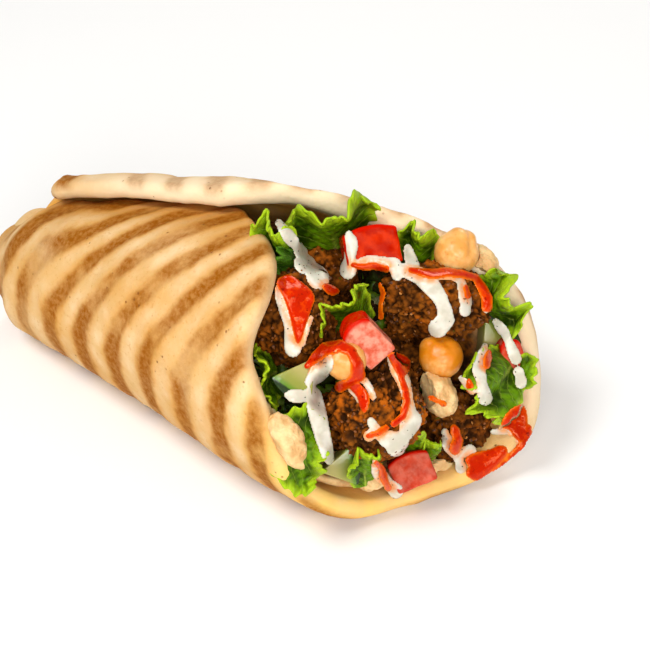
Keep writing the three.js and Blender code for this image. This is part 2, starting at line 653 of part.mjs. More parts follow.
function seat(solid, clearance, group, place, name, finish) {
  const fitted = largestBody(taken.reduce((body, other) => body.subtract(other), solid));
  if (clearance) taken.push(clearance);
  const world = group === mouth ? mouthMatrix().multiply(place) : place;
  const mesh = new THREE.Mesh(geometryOf(fitted).applyMatrix4(world.clone().invert()), material(finish));
  mesh.name = name;
  place.decompose(mesh.position, mesh.quaternion, mesh.scale);
  group.add(mesh);
}

function seatInMouth(pieces, shape, place, finish) {
  for (const piece of pieces) {
    const world = mouthMatrix().multiply(place(piece));
    const [body, clearance] = [0, GAP].map((grow) => solidOf(shape(piece, grow).applyMatrix4(world)));
    seat(body, clearance, mouth, place(piece), piece.name, finish);
  }
}

const asLaid = new THREE.Matrix4();
const turnedFlat = ({ at, turn }) => placed(at, [0, 0, turn ?? FALAFEL_TURN]);
const turnedFreely = ({ at, turn }) => placed(at, turn);

seat(flatbread(0), flatbread(GAP), roll, asLaid, "flatbread", BREAD_FINISH);
seatInMouth(FALAFELS, falafel, turnedFlat, FALAFEL_FINISH);
seatInMouth(CHICKPEAS, chickpea, turnedFreely, CHICKPEA_FINISH);
seatInMouth(TOMATOES, tomato, turnedFreely, TOMATO_FINISH);
seatInMouth(CUCUMBERS, cucumber, turnedFreely, CUCUMBER_FINISH);
seatInMouth(DOLLOPS, dollop, turnedFlat, HUMMUS_FINISH);
seatInMouth(LEAVES, lettuceLeaf, leafPlace, LETTUCE_FINISH);
seat(solidOf(hummusSpread(0)), solidOf(hummusSpread(GAP)), roll, asLaid, "hummus_spread", HUMMUS_FINISH);
seat(solidOf(saladCore()), null, roll, asLaid, "salad_core", SALAD_FINISH);

// The origin goes under the middle of the box.
const box = new THREE.Box3().setFromObject(roll, true);
const middle = box.getCenter(new THREE.Vector3());
roll.position.set(-middle.x, -middle.y, -box.min.z);

const falafelPita = new THREE.Group();
falafelPita.add(roll);

export default falafelPita;
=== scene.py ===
import math

import bmesh
import bpy
import numpy as np
from mathutils import Euler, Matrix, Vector
from mathutils.bvhtree import BVHTree


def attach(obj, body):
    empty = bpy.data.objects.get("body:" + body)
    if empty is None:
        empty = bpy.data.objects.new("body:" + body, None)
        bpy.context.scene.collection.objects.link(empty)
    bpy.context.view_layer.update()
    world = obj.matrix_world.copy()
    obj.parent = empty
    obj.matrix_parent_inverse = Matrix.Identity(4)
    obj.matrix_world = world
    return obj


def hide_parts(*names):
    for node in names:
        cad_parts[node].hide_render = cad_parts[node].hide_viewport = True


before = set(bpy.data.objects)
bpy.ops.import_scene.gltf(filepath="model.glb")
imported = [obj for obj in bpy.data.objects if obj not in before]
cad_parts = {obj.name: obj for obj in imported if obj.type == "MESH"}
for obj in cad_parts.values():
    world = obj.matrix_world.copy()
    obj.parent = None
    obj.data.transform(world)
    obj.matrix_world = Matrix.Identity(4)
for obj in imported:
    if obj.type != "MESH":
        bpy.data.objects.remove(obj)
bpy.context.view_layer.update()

# The flatbread: one round of leavened wheat dough, baked, grilled on a ridged plate, and wound once
# round the filling. Its lip lies over the flap on top, and its foot is folded in to close the tail.
# Places are in millimetres from ROLL_AT in the part; angles: 0 far side, 90 underside, 180 near side.
MM = 0.001
ROLL_AT = np.array((1.8414, -0.3887, 0.0))
TAIL_X, TIP_X = -95, 92
TAIL_RADIUS, MIDDLE_RADIUS, MOUTH_RADIUS = 23.7, 40.8, 49
DOUGH = 7
SINK = 2
LIP_ANGLE, FLAP_ANGLE = -90, 280
LIP_LIFT, LIP_LIFT_TURN = 5, (40, 90)
FLAP_DIP, FLAP_DIP_TURN = 5, (215, 275)
LIP_SETBACK, LIP_SETBACK_TURN = 19, (LIP_ANGLE, -40)
TAIL_CURL, TAIL_CURL_X = 6, (TAIL_X, TAIL_X + 16)
BELLY, BELLY_X = (3, 145, 36), (-10, 40)
UNDER_LIFT, UNDER_LIFT_X = (4.5, 95, 32), (45, 85)
LIP_END_X = -4
RIM_START, RIM_TIP, RIM_TURN_X = 95, 44, (15, 85)
RIM_HALF, RIM_TAPER, RIM_CURVE = 185, 1.1, 0.72
RIM_SAMPLES = 4800
FLAP_CORNER, FLAP_WAIST = (5, 240, 20), (4, 203, 15)
RIM_ROUND, RIM_STEPS = 2.6, 8
BREAD_ROWS, BREAD_COLUMNS = 104, 250
FOOT_DEPTH, FOOT_RADIUS, FOOT_PLEATS, FOOT_CREASE = 10, 18, 5, 0.07
BALL_DETAIL = 5
BAND_START, BAND_PITCH = -85.2, 16.65
BAND_LEAN, BAND_MORE_LEAN, BAND_LEAN_X = 0.2, 0.27, (-70, -45)
BAND_WANDER, BAND_WIDER = 0.3, 0.09
NEAR_BEND, FAR_BEND = (190, 5), (30, 8)
LIP_BARE, LIP_BARE_TURN, LIP_BARE_X = 0.5, (-35, -62), (-70, -50)
LIP_EDGE_TURN, LIP_EDGE_X, LIP_EDGE_LEAST = (-64, -88), (-75, -30), 0.25
UNDER_LIP_TURN, UNDER_LIP_X, UNDER_LIP_WIDER = (236, 268), (40, 0), 0.6
NEAR_TAIL_X, NEAR_TAIL_TURN = (-45, -80), (185, 225)
LOW_RIM_REACH, LOW_RIM_FROM, LOW_RIM_TO = (16, 2), (40, 85), (200, 150)
FAR_RIM_HIGHLIGHT_REACH, FAR_RIM_HIGHLIGHT_TURN = (14, 2), (60, 20)
OIL_AND_BOUNCE_REACH, OIL_AND_BOUNCE_FROM = (2, 8), (-89, -82)
PORES_PER_M = 260.0


def ease(value, low, high):
    """From 0 at low to 1 at high, flat at both ends."""
    share = np.clip((value - low) / (high - low), 0, 1)
    return share * share * (3 - 2 * share)


def swelling(angle, out, centre, spread):
    return out * np.exp(-(((angle - centre) / spread) ** 2))


def past(value, start, soft):
    """How far a value is past a start, with a soft bend there, and 0 before it."""
    return soft * np.log1p(np.exp((value - start) / soft))


def roll_radius(x):
    share = (x - TAIL_X) / (TIP_X - TAIL_X)
    tail = TAIL_RADIUS * (1 - share) * (1 - 2 * share)
    middle = MIDDLE_RADIUS * 4 * share * (1 - share)
    return tail + middle + MOUTH_RADIUS * share * (2 * share - 1)


def bread_radius(x, angle):
    belly = swelling(angle, *BELLY) * ease(x, *BELLY_X)
    lifted = swelling(angle, *UNDER_LIFT) * ease(x, *UNDER_LIFT_X)
    lip = LIP_LIFT * ease(-angle, *LIP_LIFT_TURN)
    dip = FLAP_DIP * ease(angle, *FLAP_DIP_TURN)
    curl = TAIL_CURL * (1 - ease(x, *TAIL_CURL_X))
    return roll_radius(x) + belly - lifted + lip - dip - curl


def bread_point(x, angle, depth):
    """A point this deep under the outer face, never below the flat that the roll lies on."""
    radius = bread_radius(x, angle) - depth
    turn = np.radians(angle)
    height = roll_radius(x) - SINK - radius * np.sin(turn)
    return np.stack([x, radius * np.cos(turn), np.maximum(height, depth)], -1)


def rim_x(angle):
    """Where the mouth's rim is at each angle: the range of angles narrows towards the tip and turns."""
    x = np.linspace(LIP_END_X, TIP_X, RIM_SAMPLES)
    share = (x - LIP_END_X) / (TIP_X - LIP_END_X)
    middle = RIM_START + (RIM_TIP - RIM_START) * ease(x, *RIM_TURN_X)
    half = RIM_HALF * (1 - share**RIM_TAPER) ** RIM_CURVE
    inside = np.abs(angle[:, None] - middle) <= half
    front = np.where(inside, x, LIP_END_X).max(axis=1)
    return front + swelling(angle, *FLAP_CORNER) - swelling(angle, *FLAP_WAIST)


def sheet_faces(rows, columns, rims):
    """Faces of a closed sheet: two grids of points, and loops of rim points between their borders."""
    across = columns + 1
    face = (rows + 1) * across
    border = [(0, j) for j in range(columns)] + [(i, columns) for i in range(rows)]
    border += [(rows, j) for j in range(columns, 0, -1)] + [(i, 0) for i in range(rows, 0, -1)]
    faces = []
    for i in range(rows):
        for j in range(columns):
            a = i * across + j
            b = a + across
            faces.append((a, b, b + 1, a + 1))
            faces.append((face + a, face + a + 1, face + b + 1, face + b))
    loops = [[i * across + j for i, j in border]]
    loops += [[2 * face + k * len(border) + n for n in range(len(border))] for k in range(rims)]
    loops.append([face + i * across + j for i, j in border])
    for one, other in zip(loops, loops[1:]):
        for n in range(len(border)):
            after = (n + 1) % len(border)
            faces.append((one[n], one[after], other[after], other[n]))
    return faces, border


def put(name, data):
    """A new object in the scene, at the origin."""
    thing = bpy.data.objects.new(name, data)
    bpy.context.scene.collection.objects.link(thing)
    return thing


def make_piece(name, points, faces, material=None):
    """A closed mesh object from points in millimetres, smooth, with its faces pointing out."""
    mesh = bpy.data.meshes.new(name)
    mesh.from_pydata((np.asarray(points) * MM).tolist(), [], faces)
    shell = bmesh.new()
    shell.from_mesh(mesh)
    bmesh.ops.recalc_face_normals(shell, faces=shell.faces)
    shell.to_mesh(mesh)
    shell.free()
    mesh.shade_smooth()
    if material:
        mesh.materials.append(material)
    return put(name, mesh)


def taken_from(shell):
    """The points and faces of a working mesh, which is then freed."""
    points = np.array([v.co for v in shell.verts])
    faces = [tuple(v.index for v in f.verts) for f in shell.faces]
    shell.free()
    return points, faces


def ball():
    """Directions and triangles of an evenly divided ball."""
    shell = bmesh.new()
    bmesh.ops.create_icosphere(shell, subdivisions=BALL_DETAIL, radius=1)
    directions, faces = taken_from(shell)
    return directions / np.linalg.norm(directions, axis=1, keepdims=True), faces


def mark(piece, name, values):
    """Stores a value for each point of a piece, for its material."""
    values = np.asarray(values, np.float32)
    kind, key = ("FLOAT", "value") if values.ndim == 1 else ("FLOAT_VECTOR", "vector")
    layer = piece.data.attributes.new(name, kind, "POINT")
    layer.data.foreach_set(key, values.ravel())


class Field:
    """A number, colour or place that nodes work out at each point; sums with it add nodes to its tree."""

    def __init__(self, tree, socket):
        self.tree = tree
        self.socket = socket

    def __add__(self, other):
        return sums("ADD", self, other)

    def __sub__(self, other):
        return sums("SUBTRACT", self, other)

    def __rsub__(self, other):
        return sums("SUBTRACT", other, self)

    def __mul__(self, other):
        return sums("MULTIPLY", self, other)

    def __rtruediv__(self, other):
        return sums("DIVIDE", other, self)

    def beside(self, name):
        """Another output of the same node."""
        return Field(self.tree, self.socket.node.outputs[name])


def socket_of(sockets, key):
    if isinstance(key, int):
        return sockets[key]
    return next(s for s in sockets if s.name == key and s.enabled)


def add(tree, kind, ins=None, out=0, **settings):
    """Adds a node, sets or links its inputs, and returns one of its outputs."""
    node = tree.nodes.new(kind)
    for key, value in settings.items():
        setattr(node, key, value)
    for key, value in (ins or {}).items():
        target = socket_of(node.inputs, key)
        if isinstance(value, Field):
            tree.links.new(value.socket, target)
        else:
            target.default_value = value
    return Field(tree, socket_of(node.outputs, out))


def sums(operation, *values):
    tree = next(v.tree for v in values if isinstance(v, Field))
    return add(tree, "ShaderNodeMath", dict(enumerate(values)), operation=operation)


def from_whole(value):
    """How far a value is from the nearest whole number."""
    return sums("PINGPONG", value, 0.5)


def fade(value, low, high, to_low=0.0, to_high=1.0):
    """A value eased from one range to another."""
    ins = {"Value": value, "From Min": low, "From Max": high, "To Min": to_low, "To Max": to_high}
    return add(value.tree, "ShaderNodeMapRange", ins, interpolation_type="SMOOTHSTEP")


def grain(tree, size, detail=3.0, rough=0.55):
    """Noise with lumps of this size in millimetres."""
    place = add(tree, "ShaderNodeTexCoord", out="Object")
    ins = {"Vector": place, "Scale": 1 / (size * MM), "Detail": detail, "Roughness": rough}
    return add(tree, "ShaderNodeTexNoise", ins)


def painted(tree, name, out="Fac"):
    """What was marked on the piece under this name."""
    return add(tree, "ShaderNodeAttribute", out=out, attribute_name=name)


def rgb(code):
    """A colour written as a screen colour, in the linear values that a shader takes."""
    parts = [int(code[i : i + 2], 16) / 255 for i in (0, 2, 4)]
    linear = [p / 12.92 if p <= 0.04045 else ((p + 0.055) / 1.055) ** 2.4 for p in parts]
    return (*linear, 1.0)


def blend(share, one, other):
    """One colour turned into another by a share; a colour is a field or a screen colour."""
    one, other = (rgb(c) if isinstance(c, str) else c for c in (one, other))
    ins = {"Factor": share, "A": one, "B": other}
    return add(share.tree, "ShaderNodeMix", ins, out="Result", data_type="RGBA")


def finish(name, **values):
    """A new material: its node tree and its shader, with the values that are the same all over."""
    material = bpy.data.materials.new(name)
    material.use_nodes = True
    shader = material.node_tree.nodes["Principled BSDF"]
    for key, value in values.items():
        shader.inputs[key.replace("_", " ")].default_value = value
    return material, material.node_tree, shader


def colour_of(shader, colour, rough=None):
    colour.tree.links.new(colour.socket, shader.inputs["Base Color"])
    if rough is not None:
        rough.tree.links.new(rough.socket, shader.inputs["Roughness"])


def relief(shader, height, depth):
    """Fine relief of this depth in millimetres, too small for the mesh."""
    ins = {"Height": height, "Distance": depth * MM, "Strength": 1.0}
    bump = add(height.tree, "ShaderNodeBump", ins)
    bump.tree.links.new(bump.socket, shader.inputs["Normal"])


def shape_tree(name, **inputs):
    """A Geometry Nodes tree with these inputs, a geometry and a finish; it returns the inputs by name."""
    tree = bpy.data.node_groups.new(name, "GeometryNodeTree")
    tree.interface.new_socket("Geometry", in_out="OUTPUT", socket_type="NodeSocketGeometry")
    for key, kind in {"Geometry": "Geometry", **inputs, "Finish": "Material"}.items():
        label = key.replace("_", " ")
        tree.interface.new_socket(label, in_out="INPUT", socket_type="NodeSocket" + kind)
    start = tree.nodes.new("NodeGroupInput")
    return tree, {s.name: Field(tree, s) for s in start.outputs if s.name}


def lumps(size, seed, detail, out=0, **more):
    """Noise in a shape tree, with lumps of this size in metres."""
    ins = {"W": seed, "Scale": 1.0 / size, "Detail": detail, **more}
    return add(seed.tree, "ShaderNodeTexNoise", ins, out=out, noise_dimensions="4D")


def swollen(body, height):
    """A body with its points pushed out along their normals."""
    normal = add(body.tree, "GeometryNodeInputNormal")
    way = add(body.tree, "ShaderNodeVectorMath", {0: normal, "Scale": height}, operation="SCALE")
    return add(body.tree, "GeometryNodeSetPosition", {"Geometry": body, "Offset": way})


def end_tree(body, material, smooth=True):
    """Ends a tree: smooth, with no instances left, and with its finish on."""
    tree = body.tree
    if smooth:
        body = add(tree, "GeometryNodeSetShadeSmooth", {"Geometry": body})
    body = add(tree, "GeometryNodeRealizeInstances", {"Geometry": body})
    body = add(tree, "GeometryNodeSetMaterial", {"Geometry": body, "Material": material})
    end = tree.nodes.new("NodeGroupOutput")
    tree.links.new(body.socket, end.inputs[0])


def shaped(piece, tree, **values):
    """Runs a tree on a piece with these inputs, and leaves the result as a plain mesh."""
    modifier = piece.modifiers.new(tree.name, "NODES")
    modifier.node_group = tree
    for item in tree.interface.items_tree:
        key = item.name.replace(" ", "_").lower()
        if item.in_out == "INPUT" and key in values:
            modifier[item.identifier] = values[key]
    settle(piece)
    return piece


def settle(piece):
    """Replaces a piece's mesh with what its modifiers make of it, and removes them."""
    made = piece.evaluated_get(bpy.context.evaluated_depsgraph_get())
    mesh = bpy.data.meshes.new_from_object(made)
    piece.modifiers.clear()
    old, piece.data = piece.data, mesh
    bpy.data.meshes.remove(old)
    mesh.name = piece.name


laid_pieces = []


def seat(piece, slot, *nodes):
    """The piece rides on the part's one body and stands for these CAD nodes."""
    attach(piece, "root")
    if nodes:
        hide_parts(*nodes)
    laid_pieces.append(piece)


angles = np.linspace(LIP_ANGLE, FLAP_ANGLE, BREAD_COLUMNS + 1)
fronts = rim_x(angles)
tails = TAIL_X + LIP_SETBACK * (1 - ease(angles, *LIP_SETBACK_TURN))
along = np.linspace(0, 1, BREAD_ROWS + 1)[:, None]
sheet_x = tails + (fronts - tails) * along
sheet_angle = np.broadcast_to(angles, sheet_x.shape)
bread_faces, border = sheet_faces(BREAD_ROWS, BREAD_COLUMNS, RIM_STEPS - 1)
rows_at, columns_at = np.array(border).T
edge_x, edge_angle = sheet_x[rows_at, columns_at], angles[columns_at]
per_degree = np.radians(1) * bread_radius(edge_x, edge_angle)
slope = np.gradient(fronts, angles)[columns_at] / per_degree
at_rim, at_tail = rows_at == BREAD_ROWS, rows_at == 0
out_x = at_rim / np.hypot(1, slope) - at_tail
out_angle = -slope * at_rim / np.hypot(1, slope)
out_angle = out_angle + (columns_at == BREAD_COLUMNS) * 1.0 - (columns_at == 0) * 1.0
out_length = np.maximum(np.hypot(out_x, out_angle), 1e-6)
bread_parts = [bread_point(sheet_x, sheet_angle, d).reshape(-1, 3) for d in (0, DOUGH)]
crust_parts = [np.ones(sheet_x.size), np.zeros(sheet_x.size)]
sheet_places = [np.stack([sheet_x, sheet_angle], -1).reshape(-1, 2)] * 2
for step in range(1, RIM_STEPS):
    turn = math.pi * step / RIM_STEPS
    reach = RIM_ROUND * math.sin(turn) / out_length
    x = edge_x + reach * out_x
    angle = edge_angle + reach * out_angle / per_degree
    bread_parts.append(bread_point(x, angle, DOUGH / 2 * (1 - math.cos(turn))))
    crust_parts.append(np.full(len(border), max(0.0, math.cos(turn))))
    sheet_places.append(np.stack([x, angle], -1))
foot_ways, foot_faces = ball()
foot_turn = np.arctan2(foot_ways[:, 2], foot_ways[:, 1])
pleat = 1 - FOOT_CREASE * np.abs(np.sin(foot_turn * FOOT_PLEATS / 2 + foot_ways[:, 0]))
foot_points = foot_ways * (FOOT_DEPTH, FOOT_RADIUS, FOOT_RADIUS) * pleat[:, None]
foot_points += (TAIL_X + FOOT_DEPTH / 2, 0, TAIL_RADIUS - SINK)
foot_start = sum(len(p) for p in bread_parts)
bread_faces += [tuple(n + foot_start for n in f) for f in foot_faces]
bread_parts.append(foot_points)
crust_parts.append(np.ones(len(foot_points)))
sheet_places.append(np.tile((BAND_START + BAND_PITCH / 2, 0), (len(foot_points), 1)))
bread = make_piece("bread", np.concatenate(bread_parts) + ROLL_AT, bread_faces)
place_x, place_angle = np.concatenate(sheet_places).T
crust = np.concatenate(crust_parts)
from_rim = np.interp(place_angle, angles, fronts) - place_x
lean = BAND_LEAN + BAND_MORE_LEAN * ease(place_x, *BAND_LEAN_X)
bend = past(place_angle, *NEAR_BEND) + past(-place_angle, *FAR_BEND)
mark(bread, "band", (place_x - lean * bend - BAND_START) / BAND_PITCH)
bare_lip = LIP_BARE * ease(place_angle, *LIP_BARE_TURN) * ease(place_x, *LIP_BARE_X)
mark(bread, "crust", crust * (1 - bare_lip))
# Under the lip the bread is browner: partly toast, partly painted shade where the lip shades it.
under_lip = ease(place_angle, *UNDER_LIP_TURN) * ease(place_x, *UNDER_LIP_X)
mark(bread, "toast_and_lip_shade", under_lip)
# The low rim is golden and lighter: partly its own toast, partly painted light lifting the rim where it turns
# down into shade.
low_rim = ease(place_angle, *LOW_RIM_FROM) * ease(place_angle, *LOW_RIM_TO)
mark(bread, "golden", ease(from_rim, *LOW_RIM_REACH) * low_rim)
# The inner face near the rim is warm orange: partly oil stain, partly painted bounce light on a wall in
# shade.
mark(bread, "oiled", (1 - crust) * ease(from_rim, *OIL_AND_BOUNCE_REACH) * ease(place_angle, *OIL_AND_BOUNCE_FROM))
lip_edge = LIP_EDGE_LEAST + (1 - LIP_EDGE_LEAST) * ease(place_x, *LIP_EDGE_X)
lip_edge = lip_edge * ease(place_angle, *LIP_EDGE_TURN)
# The mouth's far rim is made paler as a painted highlight.
far_rim_highlight = ease(from_rim, *FAR_RIM_HIGHLIGHT_REACH) * ease(place_angle, *FAR_RIM_HIGHLIGHT_TURN)
mark(bread, "pale", np.maximum(lip_edge, far_rim_highlight))
near_tail = ease(place_x, *NEAR_TAIL_X) * ease(place_angle, *NEAR_TAIL_TURN)
# The bands are also wider under the lip, which darkens it: partly toast, partly painted shade.
mark(bread, "wide", near_tail + UNDER_LIP_WIDER * under_lip)

bread_finish, tree, shader = finish(
    "Grilled bread", Roughness=0.75, Subsurface_Weight=0.1, Subsurface_Scale=0.002, Specular_IOR_Level=0.06
)
outside = painted(tree, "crust")
wander = (grain(tree, 8, 5, 0.6) - 0.5) * BAND_WANDER
from_band = from_whole(painted(tree, "band") + wander) - painted(tree, "wide") * BAND_WIDER
patchy = fade(grain(tree, 24, 3), 0.36, 0.54, 0.35, 1.0) * outside
mottle = fade(grain(tree, 1.8, 4, 0.65), 0.3, 0.65, 0.62, 1.0)
toast = fade(grain(tree, 30, 4, 0.6), 0.42, 0.7) * outside
freckles = fade(grain(tree, 1.3, 3, 0.6), 0.56, 0.72, 0.0, 0.4) * outside
oiled = painted(tree, "oiled") * fade(grain(tree, 16, 2), 0.3, 0.6, 0.5, 0.95)
golden = painted(tree, "golden") * fade(grain(tree, 13, 3), 0.35, 0.65, 0.5, 0.95)
halo = fade(from_band, 0.46, 0.2) * patchy
char = fade(from_band, 0.31, 0.11) * patchy * mottle
dimples = {"Vector": add(tree, "ShaderNodeTexCoord", out="Object"), "Scale": PORES_PER_M, "Randomness": 1.0}
pores = add(tree, "ShaderNodeTexVoronoi", dimples, out="Distance")
pore = fade(pores, 0.14, 0.06) * fade(grain(tree, 14, 2), 0.5, 0.62)
tone = blend(fade(grain(tree, 12, 5), 0.3, 0.7), "d8ad70", "e5c596")
tone = blend(toast * 0.6, tone, "cf9951")
# Browner under the lip: partly toast, partly painted shade.
tone = blend(painted(tree, "toast_and_lip_shade") * 0.75, tone, "c98c3e")
tone = blend(freckles, tone, "c0843c")
# Paler at the lip's edge, and at the far rim as a painted highlight.
tone = blend(painted(tree, "pale") * 0.75, tone, "fae4c0")
# Warm orange inside near the rim: partly oil stain, partly painted bounce light.
tone = blend(oiled, tone, "f2b050")
# Golden and lighter on the low rim: partly toast, partly painted light.
tone = blend(golden, tone, "ffcd70")
tone = blend(halo * 0.6, tone, "cd8d32")
tone = blend(char, tone, "935206")
colour_of(shader, blend(pore * 0.75, tone, "8a5220"))
relief(shader, grain(tree, 1.6, 5, 0.65) - pore, 0.28)

dough, ins = shape_tree(
    "Dough surface", Blister_Size="Float", Blister_Height="Float", Groove_Depth="Float", Seed="Float"
)
groove, on_crust = (
    add(dough, "GeometryNodeInputNamedAttribute", {"Name": name}, out="Attribute", data_type="FLOAT")
    for name in ("band", "crust")
)
blister = (lumps(ins["Blister Size"], ins["Seed"], 2.0) - 0.5) * ins["Blister Height"]
pressed = fade(from_whole(groove), 0.24, 0.06) * on_crust * ins["Groove Depth"]
body = swollen(ins["Geometry"], blister - pressed)
z = add(dough, "ShaderNodeSeparateXYZ", {0: add(dough, "GeometryNodeInputPosition")}, out="Z")
on_floor = {"X": z.beside("X"), "Y": z.beside("Y"), "Z": sums("MAXIMUM", z, 0.0)}
rested = add(dough, "ShaderNodeCombineXYZ", on_floor)
end_tree(add(dough, "GeometryNodeSetPosition", {"Geometry": body, "Position": rested}), ins["Finish"])
shaped(
    bread, dough, blister_size=24 * MM, blister_height=3.8 * MM, groove_depth=0.35 * MM, seed=3.0,
    finish=bread_finish,
)
seat(bread, "bread", "flatbread")

# The hummus: chickpea and sesame paste, spread on the bread before it was rolled, and pushed out of the
# mouth in dollops. It is soft and smooth with the marks of a spoon. Deep in the mouth the spread is
# coloured orange with oil and dark with painted shade.
# The mouth faces up and out of the roll, and pieces in it are placed to its right, up and out.
MOUTH_CENTRE = np.array((60, 0, 38))
MOUTH_AZIMUTH, MOUTH_RISE = 67, 29
HUMMUS_NODES = ("hummus_spread", "hummus_right", "hummus_left", "hummus_low", "hummus_top")
SPREAD_BLUR, SPREAD_LUMPS = 8, 1.2 * MM
DOLLOP_BLUR, DOLLOP_LUMPS = 18, 2.6 * MM
SPOON_MARK = 4.2 * MM
SOAK_AND_SHADE_OUT, SOAK_AND_SHADE_RIGHT = (0, -7), (-20, 5)


def axes_of(azimuth, rise):
    """Unit ways to the right, up and out, for something that faces this way; angles in degrees."""
    azimuth, rise = math.radians(azimuth), math.radians(rise)
    right = np.array((math.cos(azimuth), math.sin(azimuth), 0))
    level = np.array((math.sin(azimuth), -math.cos(azimuth), 0))
    out = level * math.cos(rise) + (0, 0, math.sin(rise))
    return right, np.cross(out, right), out


mouth_turn = np.stack(axes_of(MOUTH_AZIMUTH, MOUTH_RISE), 1)


def in_mouth(points):
    return np.asarray(points) @ mouth_turn.T + MOUTH_CENTRE + ROLL_AT


def seen_from_mouth(points):
    """How far points are to the right, up and out of the mouth."""
    return ((points - ROLL_AT - MOUTH_CENTRE) @ mouth_turn).T


def cad_copy(node, name):
    """A new piece with the shape of a CAD node, its points merged."""
    shell = bmesh.new()
    shell.from_mesh(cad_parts[node].data)
    bmesh.ops.remove_doubles(shell, verts=shell.verts, dist=1e-6)
    points, faces = taken_from(shell)
    return make_piece(name, points / MM, faces)


def points_of(piece):
    return np.array([v.co for v in piece.data.vertices]) / MM


def evened(ins):
    """A tree's body, finely divided, with its flats and edges blurred away."""
    tree = ins["Geometry"].tree
    fine = add(tree, "GeometryNodeSubdivideMesh", {"Mesh": ins["Geometry"], "Level": ins["Level"]})
    place = {"Value": add(tree, "GeometryNodeInputPosition"), "Iterations": ins["Blur"]}
    even = add(tree, "GeometryNodeBlurAttribute", place, out="Value", data_type="FLOAT_VECTOR")
    return add(tree, "GeometryNodeSetPosition", {"Geometry": fine, "Position": even})


hummus_finish, tree, shader = finish(
    "Hummus", Roughness=0.5, Subsurface_Weight=0.2, Subsurface_Scale=0.002, Specular_IOR_Level=0.4
)
tone = blend(fade(grain(tree, 4, 4), 0.35, 0.65), "d0a064", "e8c48a")
tone = blend(fade(grain(tree, 1.4, 3), 0.6, 0.75, 0.0, 0.4), tone, "c98d40")
# Deep in the mouth the paste is orange with oil and dark with painted shade.
stain_and_shade = blend(fade(grain(tree, 4, 4), 0.4, 0.6), "3a1c05", "a55e0e")
colour_of(shader, blend(painted(tree, "soaked_and_shaded"), tone, stain_and_shade))
relief(shader, grain(tree, 1.6, 3, 0.6), 0.3)

paste, ins = shape_tree(
    "Soft paste", Level="Int", Blur="Int", Swirl_Size="Float", Swirl_Height="Float", Seed="Float"
)
swirl = lumps(ins["Swirl Size"], ins["Seed"], 3.0, Distortion=0.8) - 0.5
end_tree(swollen(evened(ins), swirl * ins["Swirl Height"]), ins["Finish"])
for seed, node in enumerate(HUMMUS_NODES):
    is_spread = node == "hummus_spread"
    piece = shaped(
        cad_copy(node, node + "_paste"), paste, level=3, blur=SPREAD_BLUR if is_spread else DOLLOP_BLUR,
        swirl_size=SPOON_MARK, swirl_height=SPREAD_LUMPS if is_spread else DOLLOP_LUMPS, seed=float(seed),
        finish=hummus_finish,
    )
    to_right, _, outward = seen_from_mouth(points_of(piece))
    # Deep in the mouth the spread is marked for oil stain and painted shade.
    mark(piece, "soaked_and_shaded", ease(outward, *SOAK_AND_SHADE_OUT) * ease(to_right, *SOAK_AND_SHADE_RIGHT) * is_spread)
    seat(piece, "hummus", node)

# The salad: chopped lettuce, onion and cabbage packed behind the pieces in the mouth and down the roll.
# It is a moist heap, painted dark as shade in the gaps between the pieces, with shreds of leaf standing
# out of it where it faces the mouth.
SHREDS_PER_M2 = 90000.0
SHRED_THICK, SHRED_SWEEP, SHRED_STEPS = 0.4 * MM, 1.9, 9
SHREDS_FACE, SHREDS_DEPTH = 0.25, 40
ANY_TURN = 3.1

salad_shade_finish, tree, shader = finish("Packed salad in painted shade", Roughness=0.6, Specular_IOR_Level=0.1)
# The heap is painted dark brown and green, as painted shade in the gaps between the pieces.
tone = blend(fade(grain(tree, 5, 3), 0.4, 0.6), "2a1806", "36400e")
colour_of(shader, blend(fade(grain(tree, 2.2, 3), 0.55, 0.68), tone, "5a3614"))
relief(shader, grain(tree, 2.0, 4), 0.8)
heap = shaped(
    cad_copy("salad_core", "salad_heap"), paste, level=3, blur=4, swirl_size=6 * MM, swirl_height=4 * MM,
    seed=9.0, finish=salad_shade_finish,
)
seat(heap, "salad", "salad_core")

shred_finish, tree, shader = finish(
    "Shredded leaf", Roughness=0.4, Subsurface_Weight=0.15, Subsurface_Scale=0.001
)
tone = blend(fade(grain(tree, 9, 2), 0.42, 0.58), "2f4a08", "6f8f18")
colour_of(shader, blend(fade(grain(tree, 12, 2), 0.6, 0.68), tone, "c4bf86"))


def random_of(tree, low, high, seed, kind):
    ins = {"Min": low, "Max": high, "Seed": seed}
    return add(tree, "FunctionNodeRandomValue", ins, out="Value", data_type=kind)


def strewn(ins, thing, turn_seed, scale):
    """Copies of a thing over a tree's body, each turned any way."""
    tree = thing.tree
    bed = {"Mesh": ins["Geometry"], "Density": ins["Density"], "Seed": ins["Seed"]}
    spots = add(tree, "GeometryNodeDistributePointsOnFaces", bed, out="Points")
    turn = random_of(tree, (-ANY_TURN,) * 3, (ANY_TURN,) * 3, turn_seed, "FLOAT_VECTOR")
    copies = {"Points": spots, "Instance": thing, "Rotation": turn, "Scale": scale}
    return add(tree, "GeometryNodeInstanceOnPoints", copies)


